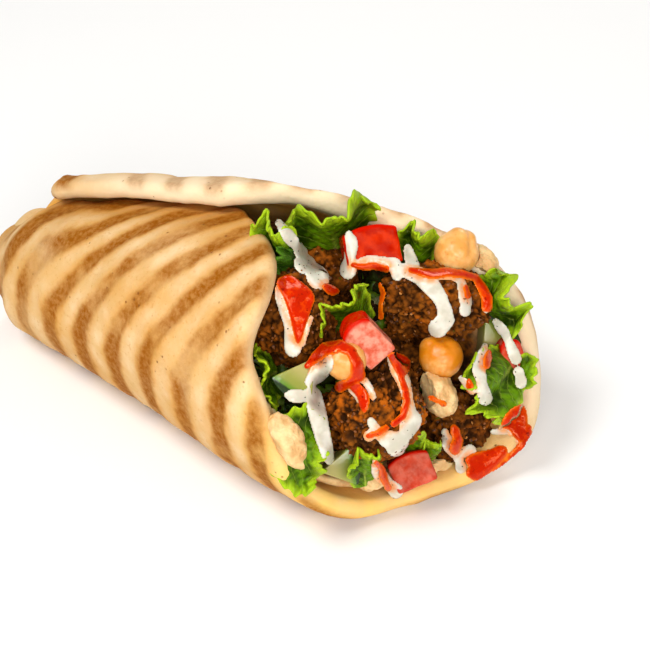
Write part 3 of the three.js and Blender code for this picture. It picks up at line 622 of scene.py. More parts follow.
shreds, ins = shape_tree("Shreds", Density="Float", Seed="Int", Width="Float", Length="Float")
arc = {"Resolution": SHRED_STEPS, "Radius": ins["Length"], "Sweep Angle": SHRED_SWEEP}
curl = add(shreds, "GeometryNodeCurveArc", arc, out="Curve")
strip = {"Width": SHRED_THICK, "Height": ins["Width"]}
strip = add(shreds, "GeometryNodeCurvePrimitiveQuadrilateral", strip)
shred = add(shreds, "GeometryNodeCurveToMesh", {"Curve": curl, "Profile Curve": strip, "Fill Caps": True})
grown = random_of(shreds, 0.6, 1.2, 4, "FLOAT")
end_tree(strewn(ins, shred, ins["Seed"], grown), ins["Finish"])
heap_points = points_of(heap)
heap_out = seen_from_mouth(heap_points)[2]
front_faces = []
for face in heap.data.polygons:
    if face.normal.dot(Vector(mouth_turn[:, 2])) > SHREDS_FACE and heap_out[face.vertices[0]] > -SHREDS_DEPTH:
        front_faces.append(tuple(face.vertices))
shred_bed = make_piece("salad_shreds", heap_points, front_faces)
shaped(shred_bed, shreds, density=SHREDS_PER_M2, seed=5, width=3 * MM, length=3.4 * MM, finish=shred_finish)
seat(shred_bed, "lettuce")

# The falafel: balls of ground chickpea with herbs and onion, fried until the crust is dark and craggy.
# They lie in the mouth, pushed together, with loose crumbs of crust on them and oil of the sauce on some.
FALAFEL_OIL = {"front": 1.0, "right": 0.6, "left": 0.3, "low": 0.4, "back": 0.4, "deep": 0.3}
CRUMBS_PER_M2 = 75000.0

falafel_finish, tree, shader = finish(
    "Fried crust", Roughness=0.62, Specular_IOR_Level=0.1, Specular_Tint=(1.0, 0.7, 0.4, 1.0)
)
crag = painted(tree, "crag")
granule = painted(tree, "granule")
# Random granules on the raised crags are lighter: partly crumb tone, partly painted highlight.
bright = fade(granule, 0.6, 0.95) * fade(crag, 0.35, 0.7)
oily = fade(grain(tree, 10, 3), 0.44, 0.64) * fade(crag, 0.25, 0.6)
# By the crags' height the crust is darker in the pits and lighter on the tops: painted shade and painted
# highlight.
tone = blend(fade(crag, 0.22, 0.6), "2a1203", "77400f")
tone = blend(fade(granule, 0.3, 0.05, 0.0, 0.4), tone, "2c1304")
tone = blend(fade(grain(tree, 8, 3), 0.5, 0.68, 0.0, 0.7), tone, "2b1305")
tone = blend(bright * 0.4, tone, "ac6218")
# Lighter still on the highest crags: painted highlight.
tone = blend(fade(crag, 0.66, 0.95, 0.0, 0.5), tone, "9c5510")
tone = blend(oily * painted(tree, "oil"), tone, "b65a0c")
tone = blend(fade(grain(tree, 2.9, 1), 0.72, 0.78), tone, "4a470c")
colour_of(shader, tone, fade(grain(tree, 2.6, 3), 0.35, 0.65, 0.4, 0.8))
relief(shader, grain(tree, 0.7, 4, 0.7), 0.35)


def clumps_of(where, size, seed):
    """How far each place is from the middle of its clump."""
    ins = {"Vector": where, "W": seed, "Scale": 1.0 / size, "Randomness": 1.0}
    return add(where.tree, "ShaderNodeTexVoronoi", ins, out="Distance", voronoi_dimensions="4D")


def kept(body, name, value):
    """A body that keeps a value at each point, for its material."""
    ins = {"Geometry": body, "Name": name, "Value": value}
    return add(body.tree, "GeometryNodeStoreNamedAttribute", ins, data_type="FLOAT", domain="POINT")


fry, ins = shape_tree(
    "Fried crags", Level="Int", Blur="Int", Crag_Size="Float", Crag_Height="Float", Granule_Size="Float",
    Granule_Height="Float", Rough_Height="Float", Sink="Float", Warp="Float", Seed="Float",
)
body = evened(ins)
warp = {0: lumps(ins["Crag Size"], ins["Seed"], 3.0, "Color"), "Scale": ins["Warp"]}
warp = add(fry, "ShaderNodeVectorMath", warp, operation="SCALE")
here = add(fry, "GeometryNodeInputPosition")
where = add(fry, "ShaderNodeVectorMath", {0: here, 1: warp}, operation="ADD")
clump = 0.5 - clumps_of(where, ins["Crag Size"], ins["Seed"])
granules = clumps_of(where, ins["Granule Size"], ins["Seed"])
granule = 0.5 - granules
chance = add(fry, "ShaderNodeSeparateXYZ", {0: granules.beside("Color")})
rough = lumps(ins["Granule Size"] * 2.5, ins["Seed"], 5.0, Roughness=0.75) - 0.5
height = clump * ins["Crag Height"] + granule * ins["Granule Height"] + rough * ins["Rough Height"]
body = kept(body, "crag", clump * 0.3 + 0.5 + granule * 0.6 + rough)
body = kept(body, "granule", chance)
end_tree(swollen(body, height - ins["Sink"]), ins["Finish"])
falafels = []
for seed, (name, oil) in enumerate(FALAFEL_OIL.items()):
    piece = cad_copy("falafel_" + name, "falafel_" + name + "_crust")
    shaped(
        piece, fry, level=3, blur=5, crag_size=5.2 * MM, crag_height=3.4 * MM, granule_size=1.5 * MM,
        granule_height=1.4 * MM, rough_height=5.6 * MM, sink=0.9 * MM, warp=3.2 * MM, seed=float(seed * 7),
        finish=falafel_finish,
    )
    mark(piece, "oil", np.full(len(piece.data.vertices), oil))
    seat(piece, "falafel", "falafel_" + name)
    falafels.append(piece)

crumb_finish, tree, shader = finish("Crust crumbs", Roughness=0.65)
tone = blend(fade(grain(tree, 2.4, 2), 0.4, 0.6), "3a1a06", "8a4c18")
colour_of(shader, blend(fade(grain(tree, 3.7, 1), 0.62, 0.7), tone, "b87630"))
crumbs, ins = shape_tree("Loose crumbs", Density="Float", Smallest="Float", Largest="Float", Seed="Int")
lump = add(crumbs, "GeometryNodeMeshIcoSphere", {"Radius": 1.0, "Subdivisions": 1}, out="Mesh")
small, large = (
    add(crumbs, "ShaderNodeCombineXYZ", dict.fromkeys("XYZ", ins[name])) for name in ("Smallest", "Largest")
)
grown = random_of(crumbs, small, large, ins["Seed"], "FLOAT_VECTOR")
end_tree(strewn(ins, lump, 1, grown), ins["Finish"], smooth=False)


def merged(pieces):
    """All points, in millimetres, and all faces of some pieces."""
    points, faces, start = [], [], 0
    for piece in pieces:
        points.append(points_of(piece))
        faces += [tuple(n + start for n in face.vertices) for face in piece.data.polygons]
        start += len(points[-1])
    return np.concatenate(points), faces


crumb_bed = make_piece("falafel_crumbs", *merged(falafels))
shaped(
    crumb_bed, crumbs, density=CRUMBS_PER_M2, smallest=0.2 * MM, largest=0.7 * MM, seed=2, finish=crumb_finish
)
seat(crumb_bed, "falafel")

# The chickpeas: boiled whole, with a thin wrinkled skin, a beak at one end and a groove over the back.
# They sit loose in the mouth between the falafel. Each has its place in the mouth, its radius, its turn
# in degrees and its share of oil; the beak, groove and wrinkles are shares of the radius.
CHICKPEAS = {
    "chickpea_top": ((32, 32.5, 5), 7, (20, 0, -30), 0.0),
    "chickpea_centre": ((-18, 13.8, 16.5), 6.2, (0, 30, 60), 0.4),
    "chickpea_right": ((17.1, 3.5, 8), 6.8, (-20, 10, 15), 1.0),
}
BEAK, BEAK_FROM = 0.16, 0.72
GROOVE, GROOVE_HALF, GROOVE_SPAN = 0.09, 0.2, (-0.4, 0.6)
WRINKLE = 0.012

chickpea_finish, tree, shader = finish(
    "Chickpea skin", Roughness=0.36, Subsurface_Weight=0.3, Subsurface_Scale=0.003,
    Subsurface_Radius=(1.0, 0.5, 0.2), Specular_IOR_Level=0.5,
)
tone = blend(fade(grain(tree, 6, 3), 0.35, 0.65), "df9a46", "f2be78")
tone = blend(fade(grain(tree, 2.2, 3), 0.6, 0.75, 0.0, 0.5), tone, "bd6a1c")
oiled = painted(tree, "oil") * fade(grain(tree, 5, 3), 0.25, 0.55)
colour_of(shader, blend(oiled, tone, "d87e0c"))
relief(shader, grain(tree, 2.0, 3), 0.12)


def turned(points, at, turn):
    """Points of a piece in its own place, turned and set in the mouth."""
    spin = np.array(Euler([math.radians(t) for t in turn], "ZYX").to_matrix())
    return in_mouth(np.asarray(points) @ spin.T + at)


for node, (at, radius, turn, oil) in CHICKPEAS.items():
    ways, faces = ball()
    x, y, z = ways.T
    beak = BEAK * ease(y, BEAK_FROM, 1)
    groove = swelling(x, GROOVE, 0, GROOVE_HALF) * ease(y, *GROOVE_SPAN)
    wrinkle = WRINKLE * np.sin(9 * x + 4 * np.sin(5 * y)) * np.sin(7 * z + 2)
    points = ways * (radius * (1 + beak - groove + wrinkle))[:, None]
    piece = make_piece(node + "_boiled", turned(points, at, turn), faces, chickpea_finish)
    mark(piece, "oil", np.full(len(points), oil))
    seat(piece, "chickpea", node)

# The tomato: ripe, cut by hand into uneven dice and strewn over the filling. Each has its skin on one
# curved side and wet flesh, paler towards the core, on the cuts. Each has its place in the mouth, its
# size, its turn in degrees and how pale its flesh is.
TOMATOES = {
    "tomato_top": ((8, 41, -4), (17, 11, 12), (-8, -18, -6), 0.0),
    "tomato_centre": ((-10.5, 18.5, 17), (10, 13, 9), (10, -20, 32), 0.85),
    "tomato_low": ((-0.2, -27.2, 5), (13, 9.5, 11), (-6, -24, 6), 0.3),
    "tomato_right": ((41.5, -5, 7), (7, 13, 8), (0, -12, 8), 0.3),
}
TOMATO_EDGE, TOMATO_STEPS = 0.7, 22
TOMATO_CROWN, TOMATO_DENT = 0.16, 0.0132

tomato_finish, tree, shader = finish(
    "Tomato", Roughness=0.2, Subsurface_Weight=0.1, Subsurface_Scale=0.002,
    Subsurface_Radius=(1.0, 0.25, 0.1), Specular_IOR_Level=0.1, Specular_Tint=(1.0, 0.5, 0.3, 1.0),
)
flesh = blend(fade(grain(tree, 4, 4), 0.35, 0.65), "a81000", "c82800")
light = blend(fade(grain(tree, 3, 4), 0.35, 0.65), "c85a40", "e6a086")
flesh = blend(painted(tree, "pale"), flesh, light)
flesh = blend(fade(painted(tree, "skin"), 0.72, 0.9), flesh, "c01000")
colour_of(shader, flesh, fade(grain(tree, 2.2, 3), 0.3, 0.7, 0.1, 0.3))
relief(shader, grain(tree, 2.6, 2), 0.06)


def rounded_block(size, corner, steps):
    """Points and faces of a block with round edges, and each point's share of the half size."""
    shell = bmesh.new()
    bmesh.ops.create_cube(shell, size=2)
    bmesh.ops.subdivide_edges(shell, edges=shell.edges, cuts=steps, use_grid_fill=True)
    shares, faces = taken_from(shell)
    half = np.array(size) / 2
    core = np.clip(shares * half, corner - half, half - corner)
    away = shares * half - core
    length = np.linalg.norm(away, axis=1, keepdims=True)
    return core + away / np.maximum(length, 1e-9) * np.minimum(length, corner), faces, shares


for node, (at, size, turn, paling) in TOMATOES.items():
    points, faces, shares = rounded_block(size, TOMATO_EDGE, TOMATO_STEPS)
    x, y, z = points.T
    dent = TOMATO_DENT * np.sin(x * 0.9 + z) * np.sin(y * 1.1 + 1)
    crown = (1 - shares[:, 0] ** 2) * ease(shares[:, 1], 0, 1) - 0.5
    points[:, 1] += TOMATO_CROWN * size[1] * crown
    points *= (1 + dent)[:, None]
    piece = make_piece(node + "_dice", turned(points, at, turn), faces, tomato_finish)
    mark(piece, "skin", shares[:, 1])
    mark(piece, "pale", np.full(len(points), paling))
    seat(piece, "tomato", node)

# The cucumber: quartered lengthwise, cut across into thick slices and tucked between the other pieces.
# Its flesh is pale and wet, with a dark green skin on the arc. Each slice has its place in the mouth,
# its radius, sweep and thickness, and its turn in degrees.
CUCUMBERS = {
    "cucumber_left": ((-23, 14.5, 5), 14.5, 62, 6, (-24, -16, 182)),
    "cucumber_low": ((-29, -18.5, 3), 12, 62, 8, (0, -22, -34)),
    "cucumber_right": ((33.5, -2, 1), 14, 70, 6, (0, -8, 2)),
}
CUCUMBER_STEPS = 20
CUCUMBER_EDGE, CUCUMBER_EDGE_STEPS = 0.5, 3

cucumber_finish, tree, shader = finish(
    "Cucumber", Roughness=0.2, Subsurface_Weight=0.3, Subsurface_Scale=0.003,
    Subsurface_Radius=(0.8, 1.0, 0.3), Specular_IOR_Level=0.5,
)
from_core = painted(tree, "skin") + (grain(tree, 2, 2) * 0.04 - 0.02)
tone = blend(fade(from_core, 0.35, 0.8), "ada262", "8a8f3a")
tone = blend(fade(from_core, 0.78, 0.93), tone, "5f8420")
colour_of(shader, blend(fade(from_core, 0.93, 0.975), tone, "0f2204"))
relief(shader, grain(tree, 2.5, 3), 0.1)

for node, (at, radius, sweep, thick, turn) in CUCUMBERS.items():
    arc = [math.radians(sweep * n / CUCUMBER_STEPS) for n in range(CUCUMBER_STEPS + 1)]
    outline = [(0.0, 0.0)] + [(radius * math.cos(a), radius * math.sin(a)) for a in arc]
    count = len(outline)
    points = [(x, y, z) for z in (-thick / 2, thick / 2) for x, y in outline]
    faces = [tuple(range(count)), tuple(range(count, 2 * count))]
    faces += [(n, (n + 1) % count, (n + 1) % count + count, n + count) for n in range(count)]
    piece = make_piece(node + "_slice", points, faces, cucumber_finish)
    edges = piece.modifiers.new("Soft edges", "BEVEL")
    edges.width, edges.segments = CUCUMBER_EDGE * MM, CUCUMBER_EDGE_STEPS
    settle(piece)
    own = points_of(piece)
    placed = turned(own, at, turn) * MM
    piece.data.vertices.foreach_set("co", placed.astype(np.float32).ravel())
    piece.data.update()
    mark(piece, "skin", np.hypot(own[:, 0], own[:, 1]) / radius)
    seat(piece, "cucumber", node)

# The lettuce and herb: torn leaves tucked in round the filling, with their margins out of the mouth.
# A leaf fans out from its torn root to the margin, bends and twists on the way, and is folded into waves
# there. Each has its root, tip and facing in the mouth, width, bend, twist, ruffle, waves and first wave.
LEAVES = {
    "lettuce_top": ((4.1, 36.2, -22), (-2.7, 55.5, -1.2), (-0.22, -0.75, 0.63), 31, 35, 0, 4.5, 1.25, 90),
    "lettuce_top_left": ((-12.3, 40.1, -20), (-23.6, 57, -2.3), (-0.69, -0.69, 0.21), 15, -30, 15, 3, 1.3, 0),
    "lettuce_top_right": ((21.5, 26, -10), (21.6, 42.8, 3.4), (-0.8, -0.37, 0.47), 13, 30, -15, 3, 1.3, 40),
    "lettuce_right": ((38.3, 11.8, -3), (42.5, 15, 16.8), (-0.95, -0.21, 0.23), 22, -30, 10, 4.2, 1.45, 116),
    "lettuce_side": ((39.6, -9.1, 7), (44.6, -8.3, 15.7), (-0.86, 0.17, 0.48), 11, -30, 10, 1.4, 0.9, 30),
    "lettuce_front_right": (
        (40.8, -5.5, 8), (18.7, -10.4, 19.4), (0.42, 0.19, 0.89), 24, -40, 20, 3.2, 2, 20
    ),
    "lettuce_centre": ((-1.9, 16.4, -3), (-14.4, 29.4, 10.9), (0.19, -0.63, 0.75), 23, 35, 15, 2.6, 1.6, 0),
    "lettuce_left": ((-30.5, 12, -8), (-40.9, 13.8, 5.9), (0.8, 0.01, 0.6), 21, 30, 10, 2, 1.6, 0),
    "lettuce_low_left": ((-43.3, -6.1, 6), (-30.7, -11, 15.3), (-0.54, 0.17, 0.83), 28, -35, 10, 3, 1.7, 60),
    "lettuce_low": ((-17.8, -26.7, 8), (-19.5, -14.7, 19.1), (-0.13, -0.68, 0.72), 13, 30, -10, 2.2, 1.4, 0),
    "lettuce_low_right": ((-1.4, -25.2, 2), (-0.2, -12.8, 13.6), (-0.8, -0.36, 0.47), 9, 35, 10, 1.8, 1.2, 0),
    "lettuce_tip": ((6.7, -28.4, 2), (5.5, -20, 11.9), (-0.02, -0.77, 0.64), 7, -25, 10, 1.2, 1, 0),
    "herb_leaf": ((-11.2, 38.6, -12), (-25.2, 46.6, -1.2), (0.38, -0.44, 0.82), 9, -30, 15, 1.6, 1.6, 0),
}
LEAF_ROWS, LEAF_COLUMNS, LEAF_RIMS = 40, 72, 1
LEAF_THICK, LEAF_THINNING, LEAF_EDGE = 0.8, 0.55, 0.15
LEAF_ROOT, LEAF_BELLY_FROM, LEAF_BELLY_SPAN = 0.3, 0.12, 0.43
LEAF_TIP, LEAF_BLUNT, LEAF_ROUND, LEAF_SCALLOP = 0.2, 8, 0.35, 0.05
FOLD_GROWTH, FRILL, CRINKLE = 1.3, 0.26, 0.34
LOBE, SMALL_LOBE = 0.04, 0.018


def leaf_finish(name, dark, mid, edge, rib):
    material, tree, shader = finish(
        name, Roughness=0.36, Subsurface_Weight=0.3, Subsurface_Scale=0.0016,
        Subsurface_Radius=(0.6, 1.0, 0.15), Specular_IOR_Level=0.2, Specular_Tint=(0.85, 1.0, 0.45, 1.0),
    )
    length = add(tree, "ShaderNodeSeparateXYZ", {0: painted(tree, "leaf", "Vector")})
    fold = length.beside("Z")
    aside = sums("ABSOLUTE", length.beside("Y"))
    tone = blend(fade(grain(tree, 6, 4), 0.35, 0.65), dark, mid)
    # Darker in the troughs of the folds and lighter on their crests: painted shade and painted light.
    tone = blend(fade(fold, -0.2, -1.4, 0.0, 0.7), tone, dark)
    tone = blend(fade(fold, 0.0, 1.5, 0.0, 0.85), tone, mid)
    # Lighter at the margin and tip: partly the leaf's paler margin, partly painted highlight.
    tone = blend(fade(sums("MAXIMUM", aside, length), 0.74, 1.0, 0.0, 0.8), tone, edge)
    branches = length * 6.0 - aside * 2.0 + grain(tree, 5, 2) * 0.8
    vein = fade(from_whole(branches), 0.08, 0.0, 0.0, 0.3)
    midrib = fade(aside, 0.1, 0.02) * fade(length, 0.7, 0.0, 0.0, 0.8)
    tone = blend(midrib, blend(vein, tone, rib), rib)
    colour_of(shader, tone, fade(grain(tree, 4, 2), 0.3, 0.7, 0.28, 0.5))
    relief(shader, grain(tree, 2.2, 3) - vein, 0.6)
    return material


lettuce_finish = leaf_finish("Lettuce", "1f3500", "5c8204", "aac61c", "a4b440")
herb_finish = leaf_finish("Herb leaf", "142b03", "35590c", "4f7a1c", "6f8a40")


def leaf_points(leaf, s, t):
    """The middle of a leaf's thickness: s runs from root to tip, t from edge to edge, in its own axes."""
    root, tip, _, width, bend, twist, ruffle, waves, first = leaf
    chord = np.linalg.norm(np.subtract(tip, root))
    bend, first = math.radians(bend), math.radians(first)
    radius = chord / (2 * math.sin(bend / 2))
    belly = np.sin(np.pi * (LEAF_BELLY_FROM + LEAF_BELLY_SPAN * s))
    scallop = 1 + LEAF_SCALLOP * np.sin(4 * np.pi * waves * s + t)
    half = width / 2 * (LEAF_ROOT + (1 - LEAF_ROOT) * belly) * (1 - LEAF_TIP * s**LEAF_BLUNT) * scallop
    turn = math.radians(twist) * (s - 0.5)
    sag = radius * (math.cos(bend / 2) - np.cos(bend * (s - 0.5)))
    wave = np.pi * waves * t
    fold = np.sin(wave + first)
    frill = np.sin(2.3 * wave + 2 * first + 2 * s) * s**3
    frill += 0.6 * np.sin(5.3 * wave + first) * s**5
    frill += np.sin(3.1 * np.pi * (1 + waves) * s + 3 * t) * np.abs(t) ** 3 * s
    across, down = half * t, chord * s
    crinkle = np.sin(1.7 * down + 1.6 * np.sin(0.7 * across + first))
    crinkle = crinkle * np.sin(1.4 * across + np.sin(0.8 * down))
    ripple = ruffle * (s**FOLD_GROWTH * fold + FRILL * frill) + CRINKLE * crinkle * (0.35 + 0.65 * s)
    lobes = LOBE * width * np.sin(2.6 * wave + first) * s**4
    lobes += SMALL_LOBE * width * np.sin(7.1 * wave + 2) * s**6
    y = chord / 2 + radius * np.sin(bend * (s - 0.5)) - LEAF_ROUND * half * t * t * s**2 + lobes
    return np.stack([across * np.cos(turn), y, sag + ripple + across * np.sin(turn)], -1), fold + crinkle


leaf_faces, leaf_border = sheet_faces(LEAF_ROWS, LEAF_COLUMNS, LEAF_RIMS)
leaf_s = np.linspace(0, 1, LEAF_ROWS + 1)
leaf_t = np.linspace(-1, 1, LEAF_COLUMNS + 1)
leaf_s, leaf_t = np.meshgrid(leaf_s, leaf_t, indexing="ij")
leaf_edge = tuple(np.array(leaf_border).T)
for node, leaf in LEAVES.items():
    middle, fold = leaf_points(leaf, leaf_s, leaf_t)
    normal = np.cross(np.gradient(middle, axis=1), np.gradient(middle, axis=0))
    normal /= np.linalg.norm(normal, axis=-1, keepdims=True)
    thick = (LEAF_THICK / 2 * (1 - LEAF_THINNING * leaf_t**2))[..., None]
    root, tip, facing = (np.array(v, float) for v in leaf[:3])
    along_leaf = (tip - root) / np.linalg.norm(tip - root)
    aside = np.cross(along_leaf, facing)
    aside /= np.linalg.norm(aside)
    axes = np.stack([aside, along_leaf, np.cross(aside, along_leaf)])
    edge = middle[leaf_edge] + LEAF_EDGE * np.sign(middle[leaf_edge] - middle.mean((0, 1)))
    parts = [middle + normal * thick, middle - normal * thick, edge]
    points = np.concatenate([part.reshape(-1, 3) for part in parts])
    is_herb = node == "herb_leaf"
    material = herb_finish if is_herb else lettuce_finish
    piece = make_piece(node + "_torn", in_mouth(points @ axes + root), leaf_faces, material)
    # The fold is marked for the painted shade in its troughs and painted light on its crests.
    places = np.stack([leaf_s, leaf_t, fold], -1)
    mark(piece, "leaf", np.concatenate([places.reshape(-1, 3)] * 2 + [places[leaf_edge]]))
    seat(piece, "herb" if is_herb else "lettuce", node)

# The white sauce: thinned yogurt and sesame with pepper and herbs, drizzled over the filling from above.
# It lies where the photo shows it, carried down the camera's rays on to whatever is there. A run has its
# width and height in millimetres and its path in the photo's pixels; a pool has its height and outline.
PHOTO_SIZE = 650
PIXEL = 0.31
VIEW_AZIMUTH, VIEW_RISE = 38, 36
VIEW_AT = np.array((37, 0, 49.4))
VIEW_DISTANCE = 0.63
VIEW_HALF = PIXEL * MM * PHOTO_SIZE / 2 / VIEW_DISTANCE
NOTHING_THERE = 9.0
SOFTEN, SMOOTHING = 30, 6
LEDGE = 11.0
SUNK = 0.4
HEAPED = 0.4
THIN_EDGE = 1.6
RUN_WAVE, RUN_BLOB, RUN_TAPER = 0.15, 0.15, 0.4
POOL_EDGE = 5
WHITE_BRIDGE, WHITE_STEEP = 11, 0.5
WHITE_RUNS = [
    (3.6, 0.7, [(279, 288), (284, 302), (288, 318), (291, 333), (293, 349)]),
    (1.8, 0.5, [(311, 318), (306, 328), (302, 343)]),
    (3.2, 0.6, [(279, 223), (284, 230), (290, 238), (298, 247), (301, 252)]),
    (5.0, 0.8, [(300, 261), (308, 266), (314, 271), (319, 279)]),
    (3.6, 0.6, [(349, 234), (351, 247), (350, 258), (348, 271)]),
    (3.4, 0.6, [(356, 264), (370, 262), (384, 262), (394, 265)]),
    (4.6, 0.9, [(392, 268), (405, 270), (420, 276), (432, 287), (440, 298), (445, 310),
                (446, 320), (438, 328)]),
    (3.0, 0.7, [(461, 281), (463, 291), (466, 302), (465, 311)]),
    (1.4, 0.4, [(440, 277), (452, 277), (462, 281)]),
    (1.6, 0.4, [(485, 298), (486, 310)]),
    (3.0, 0.6, [(408, 248), (410, 257), (414, 265)]),
    (2.6, 0.5, [(496, 322), (505, 333), (511, 347), (516, 359)]),
    (2.6, 0.5, [(518, 370), (521, 378), (521, 383)]),
    (3.4, 0.6, [(485, 346), (482, 357), (479, 370), (482, 384), (485, 398)]),
    (1.9, 0.4, [(461, 378), (467, 384), (472, 391)]),
    (3.4, 0.8, [(390, 359), (397, 371), (403, 380), (407, 394), (408, 404), (409, 414)]),
    (3.4, 0.5, [(287, 395), (294, 396), (302, 396), (312, 394)]),
    (1.6, 0.5, [(339, 390), (347, 382), (357, 378), (365, 381), (371, 390), (373, 397)]),
    (1.5, 0.4, [(350, 389), (357, 396), (362, 403)]),
    (3.0, 0.7, [(371, 421), (376, 431), (369, 436)]),
    (4.8, 0.8, [(380, 437), (390, 440), (400, 442), (407, 432), (411, 420)]),
    (3.4, 0.6, [(375, 462), (378, 472), (384, 479), (396, 491)]),
    (3.2, 0.7, [(445, 432), (449, 446), (457, 454), (470, 451)]),
    (2.4, 0.5, [(458, 455), (461, 468)]),
    (2.0, 0.4, [(493, 432), (506, 430), (517, 434), (521, 446)]),
]
WHITE_POOLS = [
    (0.7, [(390, 263), (404, 268), (402, 280), (392, 280)]),
    (0.7, [(384, 438), (406, 438), (404, 455), (388, 456)]),
    (0.9, [(316, 352), (328, 348), (334, 360), (330, 374), (318, 384), (304, 386), (308, 374)]),
    (0.8, [(304, 388), (318, 386), (324, 404), (328, 424), (332, 446), (334, 462), (326, 466), (316, 440),
           (308, 412)]),
]

view_right, view_up, view_back = axes_of(VIEW_AZIMUTH, VIEW_RISE)
view_target = (VIEW_AT + ROLL_AT) * MM
view_from = view_target + view_back * VIEW_DISTANCE
rows, columns = np.mgrid[0:PHOTO_SIZE, 0:PHOTO_SIZE]
to_right = (columns / PHOTO_SIZE * 2 - 1)[..., None] * VIEW_HALF
to_top = (1 - rows / PHOTO_SIZE * 2)[..., None] * VIEW_HALF
rays = to_right * view_right + to_top * view_up - view_back
rays /= np.linalg.norm(rays, axis=-1, keepdims=True)


def surface_of(pieces):
    """One search tree over the faces of all these pieces."""
    points, faces = merged(pieces)
    return BVHTree.FromPolygons((points * MM).tolist(), faces)


def run_depth(path, width, height, steep):
    """How deep a run of sauce is at each pixel: round across, uneven in width, thinner where it starts."""
    depth = np.zeros((PHOTO_SIZE, PHOTO_SIZE))
    path = np.array(path, float)
    lengths = np.concatenate([[0], np.cumsum(np.linalg.norm(np.diff(path, axis=0), axis=1))])
    shares = np.linspace(0, 1, max(2, int(lengths[-1]) + 1))
    path_x, path_y = (np.interp(shares * lengths[-1], lengths, path[:, k]) for k in (0, 1))
    swells = 1 + RUN_WAVE * np.sin(9 * shares + 5 * width)
    swells += RUN_BLOB * ease(shares, 0.7, 0.95) - RUN_TAPER * ease(shares, 0.2, 0)
    for x, y, swell in zip(path_x, path_y, swells):
        half = width / 2 / PIXEL * swell + THIN_EDGE
        near = np.s_[int(y - half) : int(y + half) + 2, int(x - half) : int(x + half) + 2]
        share = ((columns[near] - x) ** 2 + (rows[near] - y) ** 2) / half**2
        bead = height * np.clip(1 - share, 0, 1) ** steep
        depth[near] = np.maximum(depth[near], bead)
    return depth


def pool_depth(outline, height, steep):
    """How deep a pool of sauce is at each pixel: even, with a round edge."""
    corners = np.array(outline, float)
    for _ in range(2):
        after = np.roll(corners, -1, axis=0)
        cut = [0.75 * corners + 0.25 * after, 0.25 * corners + 0.75 * after]
        corners = np.stack(cut, 1).reshape(-1, 2)
    inside = np.zeros(rows.shape, bool)
    from_edge = np.full(rows.shape, np.inf)
    for (x0, y0), (x1, y1) in zip(corners, np.roll(corners, -1, axis=0)):
        if y0 != y1:
            inside ^= ((y0 > rows) != (y1 > rows)) & (columns < x0 + (rows - y0) / (y1 - y0) * (x1 - x0))
        length = max((x1 - x0) ** 2 + (y1 - y0) ** 2, 1e-9)
        share = np.clip(((columns - x0) * (x1 - x0) + (rows - y0) * (y1 - y0)) / length, 0, 1)
        away = np.hypot(columns - x0 - share * (x1 - x0), rows - y0 - share * (y1 - y0))
        from_edge = np.minimum(from_edge, away)
    share = np.clip((np.where(inside, from_edge, -from_edge) + THIN_EDGE) / POOL_EDGE, 0, 1)
    return height * (1 - (1 - share) ** 2) ** steep


def spread_out(values, reach, pick):
    """The least or greatest of the values within this many pixels of each pixel."""
    found = values.copy()
    for dy in range(-reach, reach + 1):
        for dx in range(-reach, reach + 1):
            if dx * dx + dy * dy <= reach * reach:
                found = pick(found, np.roll(values, (dy, dx), (0, 1)))
    return found


def lie_of(surface, wanted, bridge):
    """How far from the camera sauce would lie at each wanted pixel: soft, and over narrow gaps."""
    away = np.full(wanted.shape, NOTHING_THERE)
    for y, x in np.argwhere(wanted):
        distance = surface.ray_cast(Vector(view_from), Vector(rays[y, x]))[3]
        if distance is not None:
            away[y, x] = distance
    away = spread_out(spread_out(away, bridge, np.minimum), bridge - 2, np.maximum)
    for _ in range(SOFTEN):
        around = [np.roll(away, step, axis) for axis in (0, 1) for step in (-1, 1)]
        around = [np.where(np.abs(near - away) < LEDGE * MM, near, away) for near in around]
        away = np.mean([away, *around], axis=0)
    return away


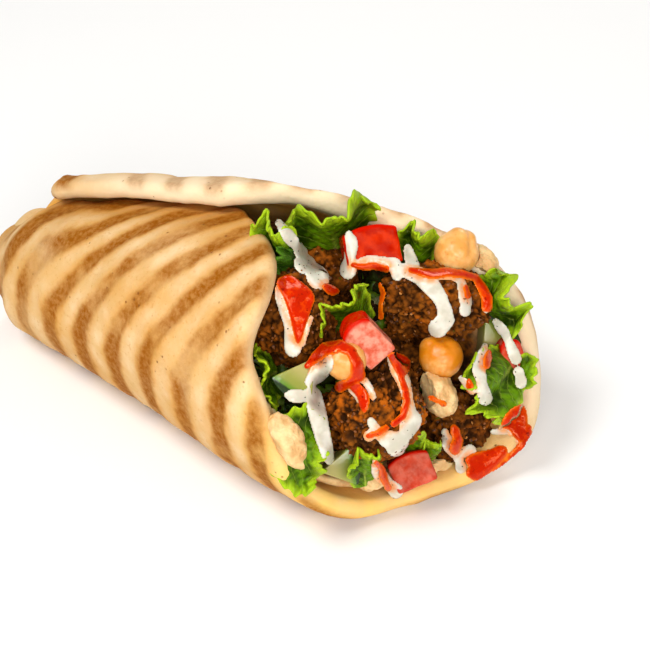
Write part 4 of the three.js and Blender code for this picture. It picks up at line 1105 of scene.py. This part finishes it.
def sauce(name, runs, pools, bridge, steep, material, slot):
    """One closed sheet of sauce, laid on what the photo shows under it, up to ledges and open gaps."""
    layers = [run_depth(path, width, height, steep) for width, height, path in runs]
    layers += [pool_depth(outline, height, steep) for height, outline in pools]
    depth = np.max(layers, axis=0)
    away = lie_of(surface_of(laid_pieces), spread_out(depth, bridge + 3, np.maximum) > 0, bridge)
    places = (view_from + rays * away[..., None]) / MM
    normals = np.cross(np.gradient(places, axis=0), np.gradient(places, axis=1))
    normals *= np.sign(normals @ view_back)[..., None]
    normals /= np.maximum(np.linalg.norm(normals, axis=-1, keepdims=True), 1e-9)
    lifts = (1 - HEAPED) * normals + HEAPED * view_back
    last = PHOTO_SIZE - 1
    corners = [np.s_[y : last + y, x : last + x] for y, x in ((0, 0), (0, 1), (1, 1), (1, 0))]
    corner_depth = np.stack([depth[c] for c in corners])
    corner_away = np.stack([away[c] for c in corners])
    whole = (corner_depth > 0).all(0) & (np.ptp(corner_away, axis=0) < LEDGE * MM)
    whole &= corner_away.max(0) < NOTHING_THERE / 2
    number = np.arange(depth.size).reshape(depth.shape)
    quads = np.stack([number[c][whole] for c in corners], 1)
    sides = np.stack([quads, np.roll(quads, -1, axis=1)], -1).reshape(-1, 2)
    edges = sides[~np.isin(sides @ (depth.size, 1), sides @ (1, depth.size))]
    used, quads = np.unique(quads, return_inverse=True)
    quads = quads.reshape(-1, 4)
    edges = np.searchsorted(used, edges)
    base, lift, high = places.reshape(-1, 3)[used], lifts.reshape(-1, 3)[used], depth.ravel()[used]
    points = np.concatenate([base + lift * high[:, None], base - lift * SUNK])
    count = len(used)
    faces = [tuple(q) for q in quads] + [tuple(q) for q in quads[:, ::-1] + count]
    faces += [(b, a, a + count, b + count) for a, b in edges]
    piece = make_piece(name, points, faces, material)
    mark(piece, "deep", np.concatenate([high, np.zeros(count)]))
    soften = piece.modifiers.new("Softened", "SMOOTH")
    soften.factor, soften.iterations = 0.5, SMOOTHING
    settle(piece)
    seat(piece, slot)
    return piece


white_finish, tree, shader = finish(
    "White sauce", Roughness=0.2, Subsurface_Weight=0.2, Subsurface_Scale=0.001, Specular_IOR_Level=0.4
)
tone = blend(fade(grain(tree, 5, 3), 0.35, 0.65), "c6beaa", "dbd5c5")
tone = blend(fade(painted(tree, "deep"), 0.3, 0.0), tone, "d0bd92")
stained = painted(tree, "stained") * fade(grain(tree, 3, 3), 0.35, 0.6, 0.3, 1.0)
colour_of(shader, blend(stained, tone, "e8861c"))
white = sauce("white_sauce", WHITE_RUNS, WHITE_POOLS, WHITE_BRIDGE, WHITE_STEEP, white_finish, "hummus")

# The hot sauce: red pepper ground with oil, spooned over the falafel after the white sauce. It lies in
# glossy puddles, thin and orange at their edges, has run down to the low edge of the bread, and stains
# the white sauce where the two meet.
HOT_BRIDGE, HOT_STEEP = 8, 0.9
STAIN, STAIN_REACH = 0.8, (2.6, 0.4)
HOT_RUNS = [
    (1.0, 0.3, [(379, 283), (383, 293), (380, 307), (381, 317)]),
    (1.8, 0.5, [(353, 265), (362, 267), (374, 266), (386, 269)]),
    (2.4, 0.5, [(411, 270), (431, 274), (447, 272), (463, 274), (476, 278), (482, 287),
                (487, 298), (487, 307)]),
    (1.4, 0.4, [(466, 287), (468, 296)]),
    (3.4, 0.6, [(307, 366), (316, 357), (325, 349), (340, 346), (351, 351), (357, 364), (358, 375)]),
    (2.4, 0.5, [(356, 378), (348, 384), (340, 387)]),
    (1.7, 0.5, [(393, 362), (400, 374), (405, 388), (407, 402), (403, 416), (394, 424)]),
    (1.8, 0.4, [(376, 463), (382, 468), (384, 479), (388, 488)]),
    (2.8, 0.5, [(454, 428), (458, 440), (455, 450)]),
    (1.9, 0.4, [(489, 352), (487, 365)]),
    (1.8, 0.4, [(469, 381), (470, 390)]),
    (1.2, 0.3, [(430, 397), (437, 401), (444, 404)]),
    (2.8, 0.5, [(528, 428), (526, 440), (520, 451), (512, 459)]),
    (2.2, 0.5, [(496, 474), (501, 470), (504, 465)]),
    (1.6, 0.4, [(368, 436), (378, 433), (386, 428)]),
]
HOT_POOLS = [
    (0.6, [(275, 281), (287, 274), (297, 279), (311, 290), (315, 298), (311, 308), (305, 326), (300, 343),
           (296, 343), (291, 318), (284, 296)]),
    (0.5, [(323, 283), (332, 285), (341, 291), (333, 296), (324, 291)]),
    (0.6, [(386, 355), (396, 352), (409, 358), (411, 366), (404, 379), (396, 368)]),
    (0.6, [(347, 386), (357, 382), (365, 389), (370, 398), (366, 414), (360, 408), (358, 396)]),
    (0.5, [(464, 459), (477, 452), (491, 450), (502, 444), (509, 451), (500, 463), (490, 472), (482, 481),
           (473, 480), (465, 474), (470, 467)]),
    (0.5, [(500, 427), (506, 414), (517, 405), (526, 406), (528, 432), (524, 442), (516, 440), (510, 429)]),
]

hot_finish, tree, shader = finish(
    "Hot sauce", Roughness=0.06, Subsurface_Weight=0.1, Subsurface_Scale=0.001,
    Subsurface_Radius=(1.0, 0.2, 0.05), Specular_IOR_Level=0.5, Specular_Tint=(1.0, 0.45, 0.2, 1.0),
)
thick = painted(tree, "deep") + grain(tree, 5, 3) * 0.4
tone = blend(fade(thick, 0.72, 0.28), "bf1c00", "e87008")
tone = blend(fade(grain(tree, 2.4, 4, 0.65), 0.48, 0.66, 0.0, 0.7), tone, "de4000")
colour_of(shader, blend(fade(grain(tree, 1.5, 3), 0.62, 0.72), tone, "8a0c00"))
relief(shader, grain(tree, 1.8, 2, 0.5), 0.22)
hot = sauce("hot_sauce", HOT_RUNS, HOT_POOLS, HOT_BRIDGE, HOT_STEEP, hot_finish, "tomato")
hot_surface = surface_of([hot])
from_hot = np.array([hot_surface.find_nearest(v.co)[3] for v in white.data.vertices]) / MM
mark(white, "stained", STAIN * ease(from_hot, *STAIN_REACH))

# The flecks: cracked pepper and chopped herb, stirred into the white sauce before it was drizzled.
# They are a fraction of a millimetre across, and lie half sunk in its surface.
FLECKS_PER_M2 = 60000.0

fleck_finish, tree, shader = finish("Herb flecks", Roughness=0.6)
colour_of(shader, blend(fade(grain(tree, 3, 1), 0.45, 0.55), "23300c", "3a2a14"))
flecks = make_piece("herb_flecks", *merged([white]))
shaped(
    flecks, crumbs, density=FLECKS_PER_M2, smallest=0.08 * MM, largest=0.34 * MM, seed=8, finish=fleck_finish
)
seat(flecks, "herb")

# The studio: a plain pale floor, a large soft light over the near side, weaker ones from the right, the
# front and behind, and a bright room. Each light has its place and size in metres and its power in watts.
# The camera stands where the photo was taken from.
FLOOR_HALF = 4
FILM = 36
LIGHTS = {
    "key": ((-0.1, -0.5, 0.85), 0.4, 6.1),
    "side": ((0.8, -0.4, 0.45), 0.5, 3.0),
    "fill": ((0.42, -0.5, 0.42), 0.3, 2.2),
    "back": ((-0.2, 0.7, 0.7), 0.5, 3.0),
}
ROOM_COLOUR, ROOM_STRENGTH = (1.0, 0.99, 0.97, 1.0), 0.28

floor_finish, tree, shader = finish("Pale floor", Roughness=0.9, Specular_IOR_Level=0.1)
colour_of(shader, blend(grain(tree, 300, 2), "f4f3f1", "f7f6f4"))
floor_mesh = bpy.data.meshes.new("floor")
floor_corners = [(x * FLOOR_HALF, y * FLOOR_HALF, 0) for x, y in ((-1, -1), (1, -1), (1, 1), (-1, 1))]
floor_mesh.from_pydata(floor_corners, [], [(0, 1, 2, 3)])
floor_mesh.materials.append(floor_finish)
put("floor", floor_mesh)

for name, (place, size, power) in LIGHTS.items():
    lamp = bpy.data.lights.new(name, "AREA")
    lamp.shape, lamp.size, lamp.energy = "DISK", size, power
    light = put(name, lamp)
    light.location = place
    light.rotation_euler = Vector(view_target - place).to_track_quat("-Z", "Y").to_euler()
world = bpy.data.worlds.new("Bright room")
world.use_nodes = True
room = world.node_tree.nodes["Background"]
room.inputs["Color"].default_value = ROOM_COLOUR
room.inputs["Strength"].default_value = ROOM_STRENGTH
bpy.context.scene.world = world
bpy.context.scene.view_settings.view_transform = "Standard"

lens = bpy.data.cameras.new("photo camera")
lens.sensor_width = FILM
lens.lens = FILM / 2 / VIEW_HALF
lens.clip_start, lens.clip_end = 0.01, 20
camera = put("photo camera", lens)
camera.location = view_from
camera.rotation_euler = Vector(view_back).to_track_quat("Z", "Y").to_euler()
bpy.context.scene.camera = camera
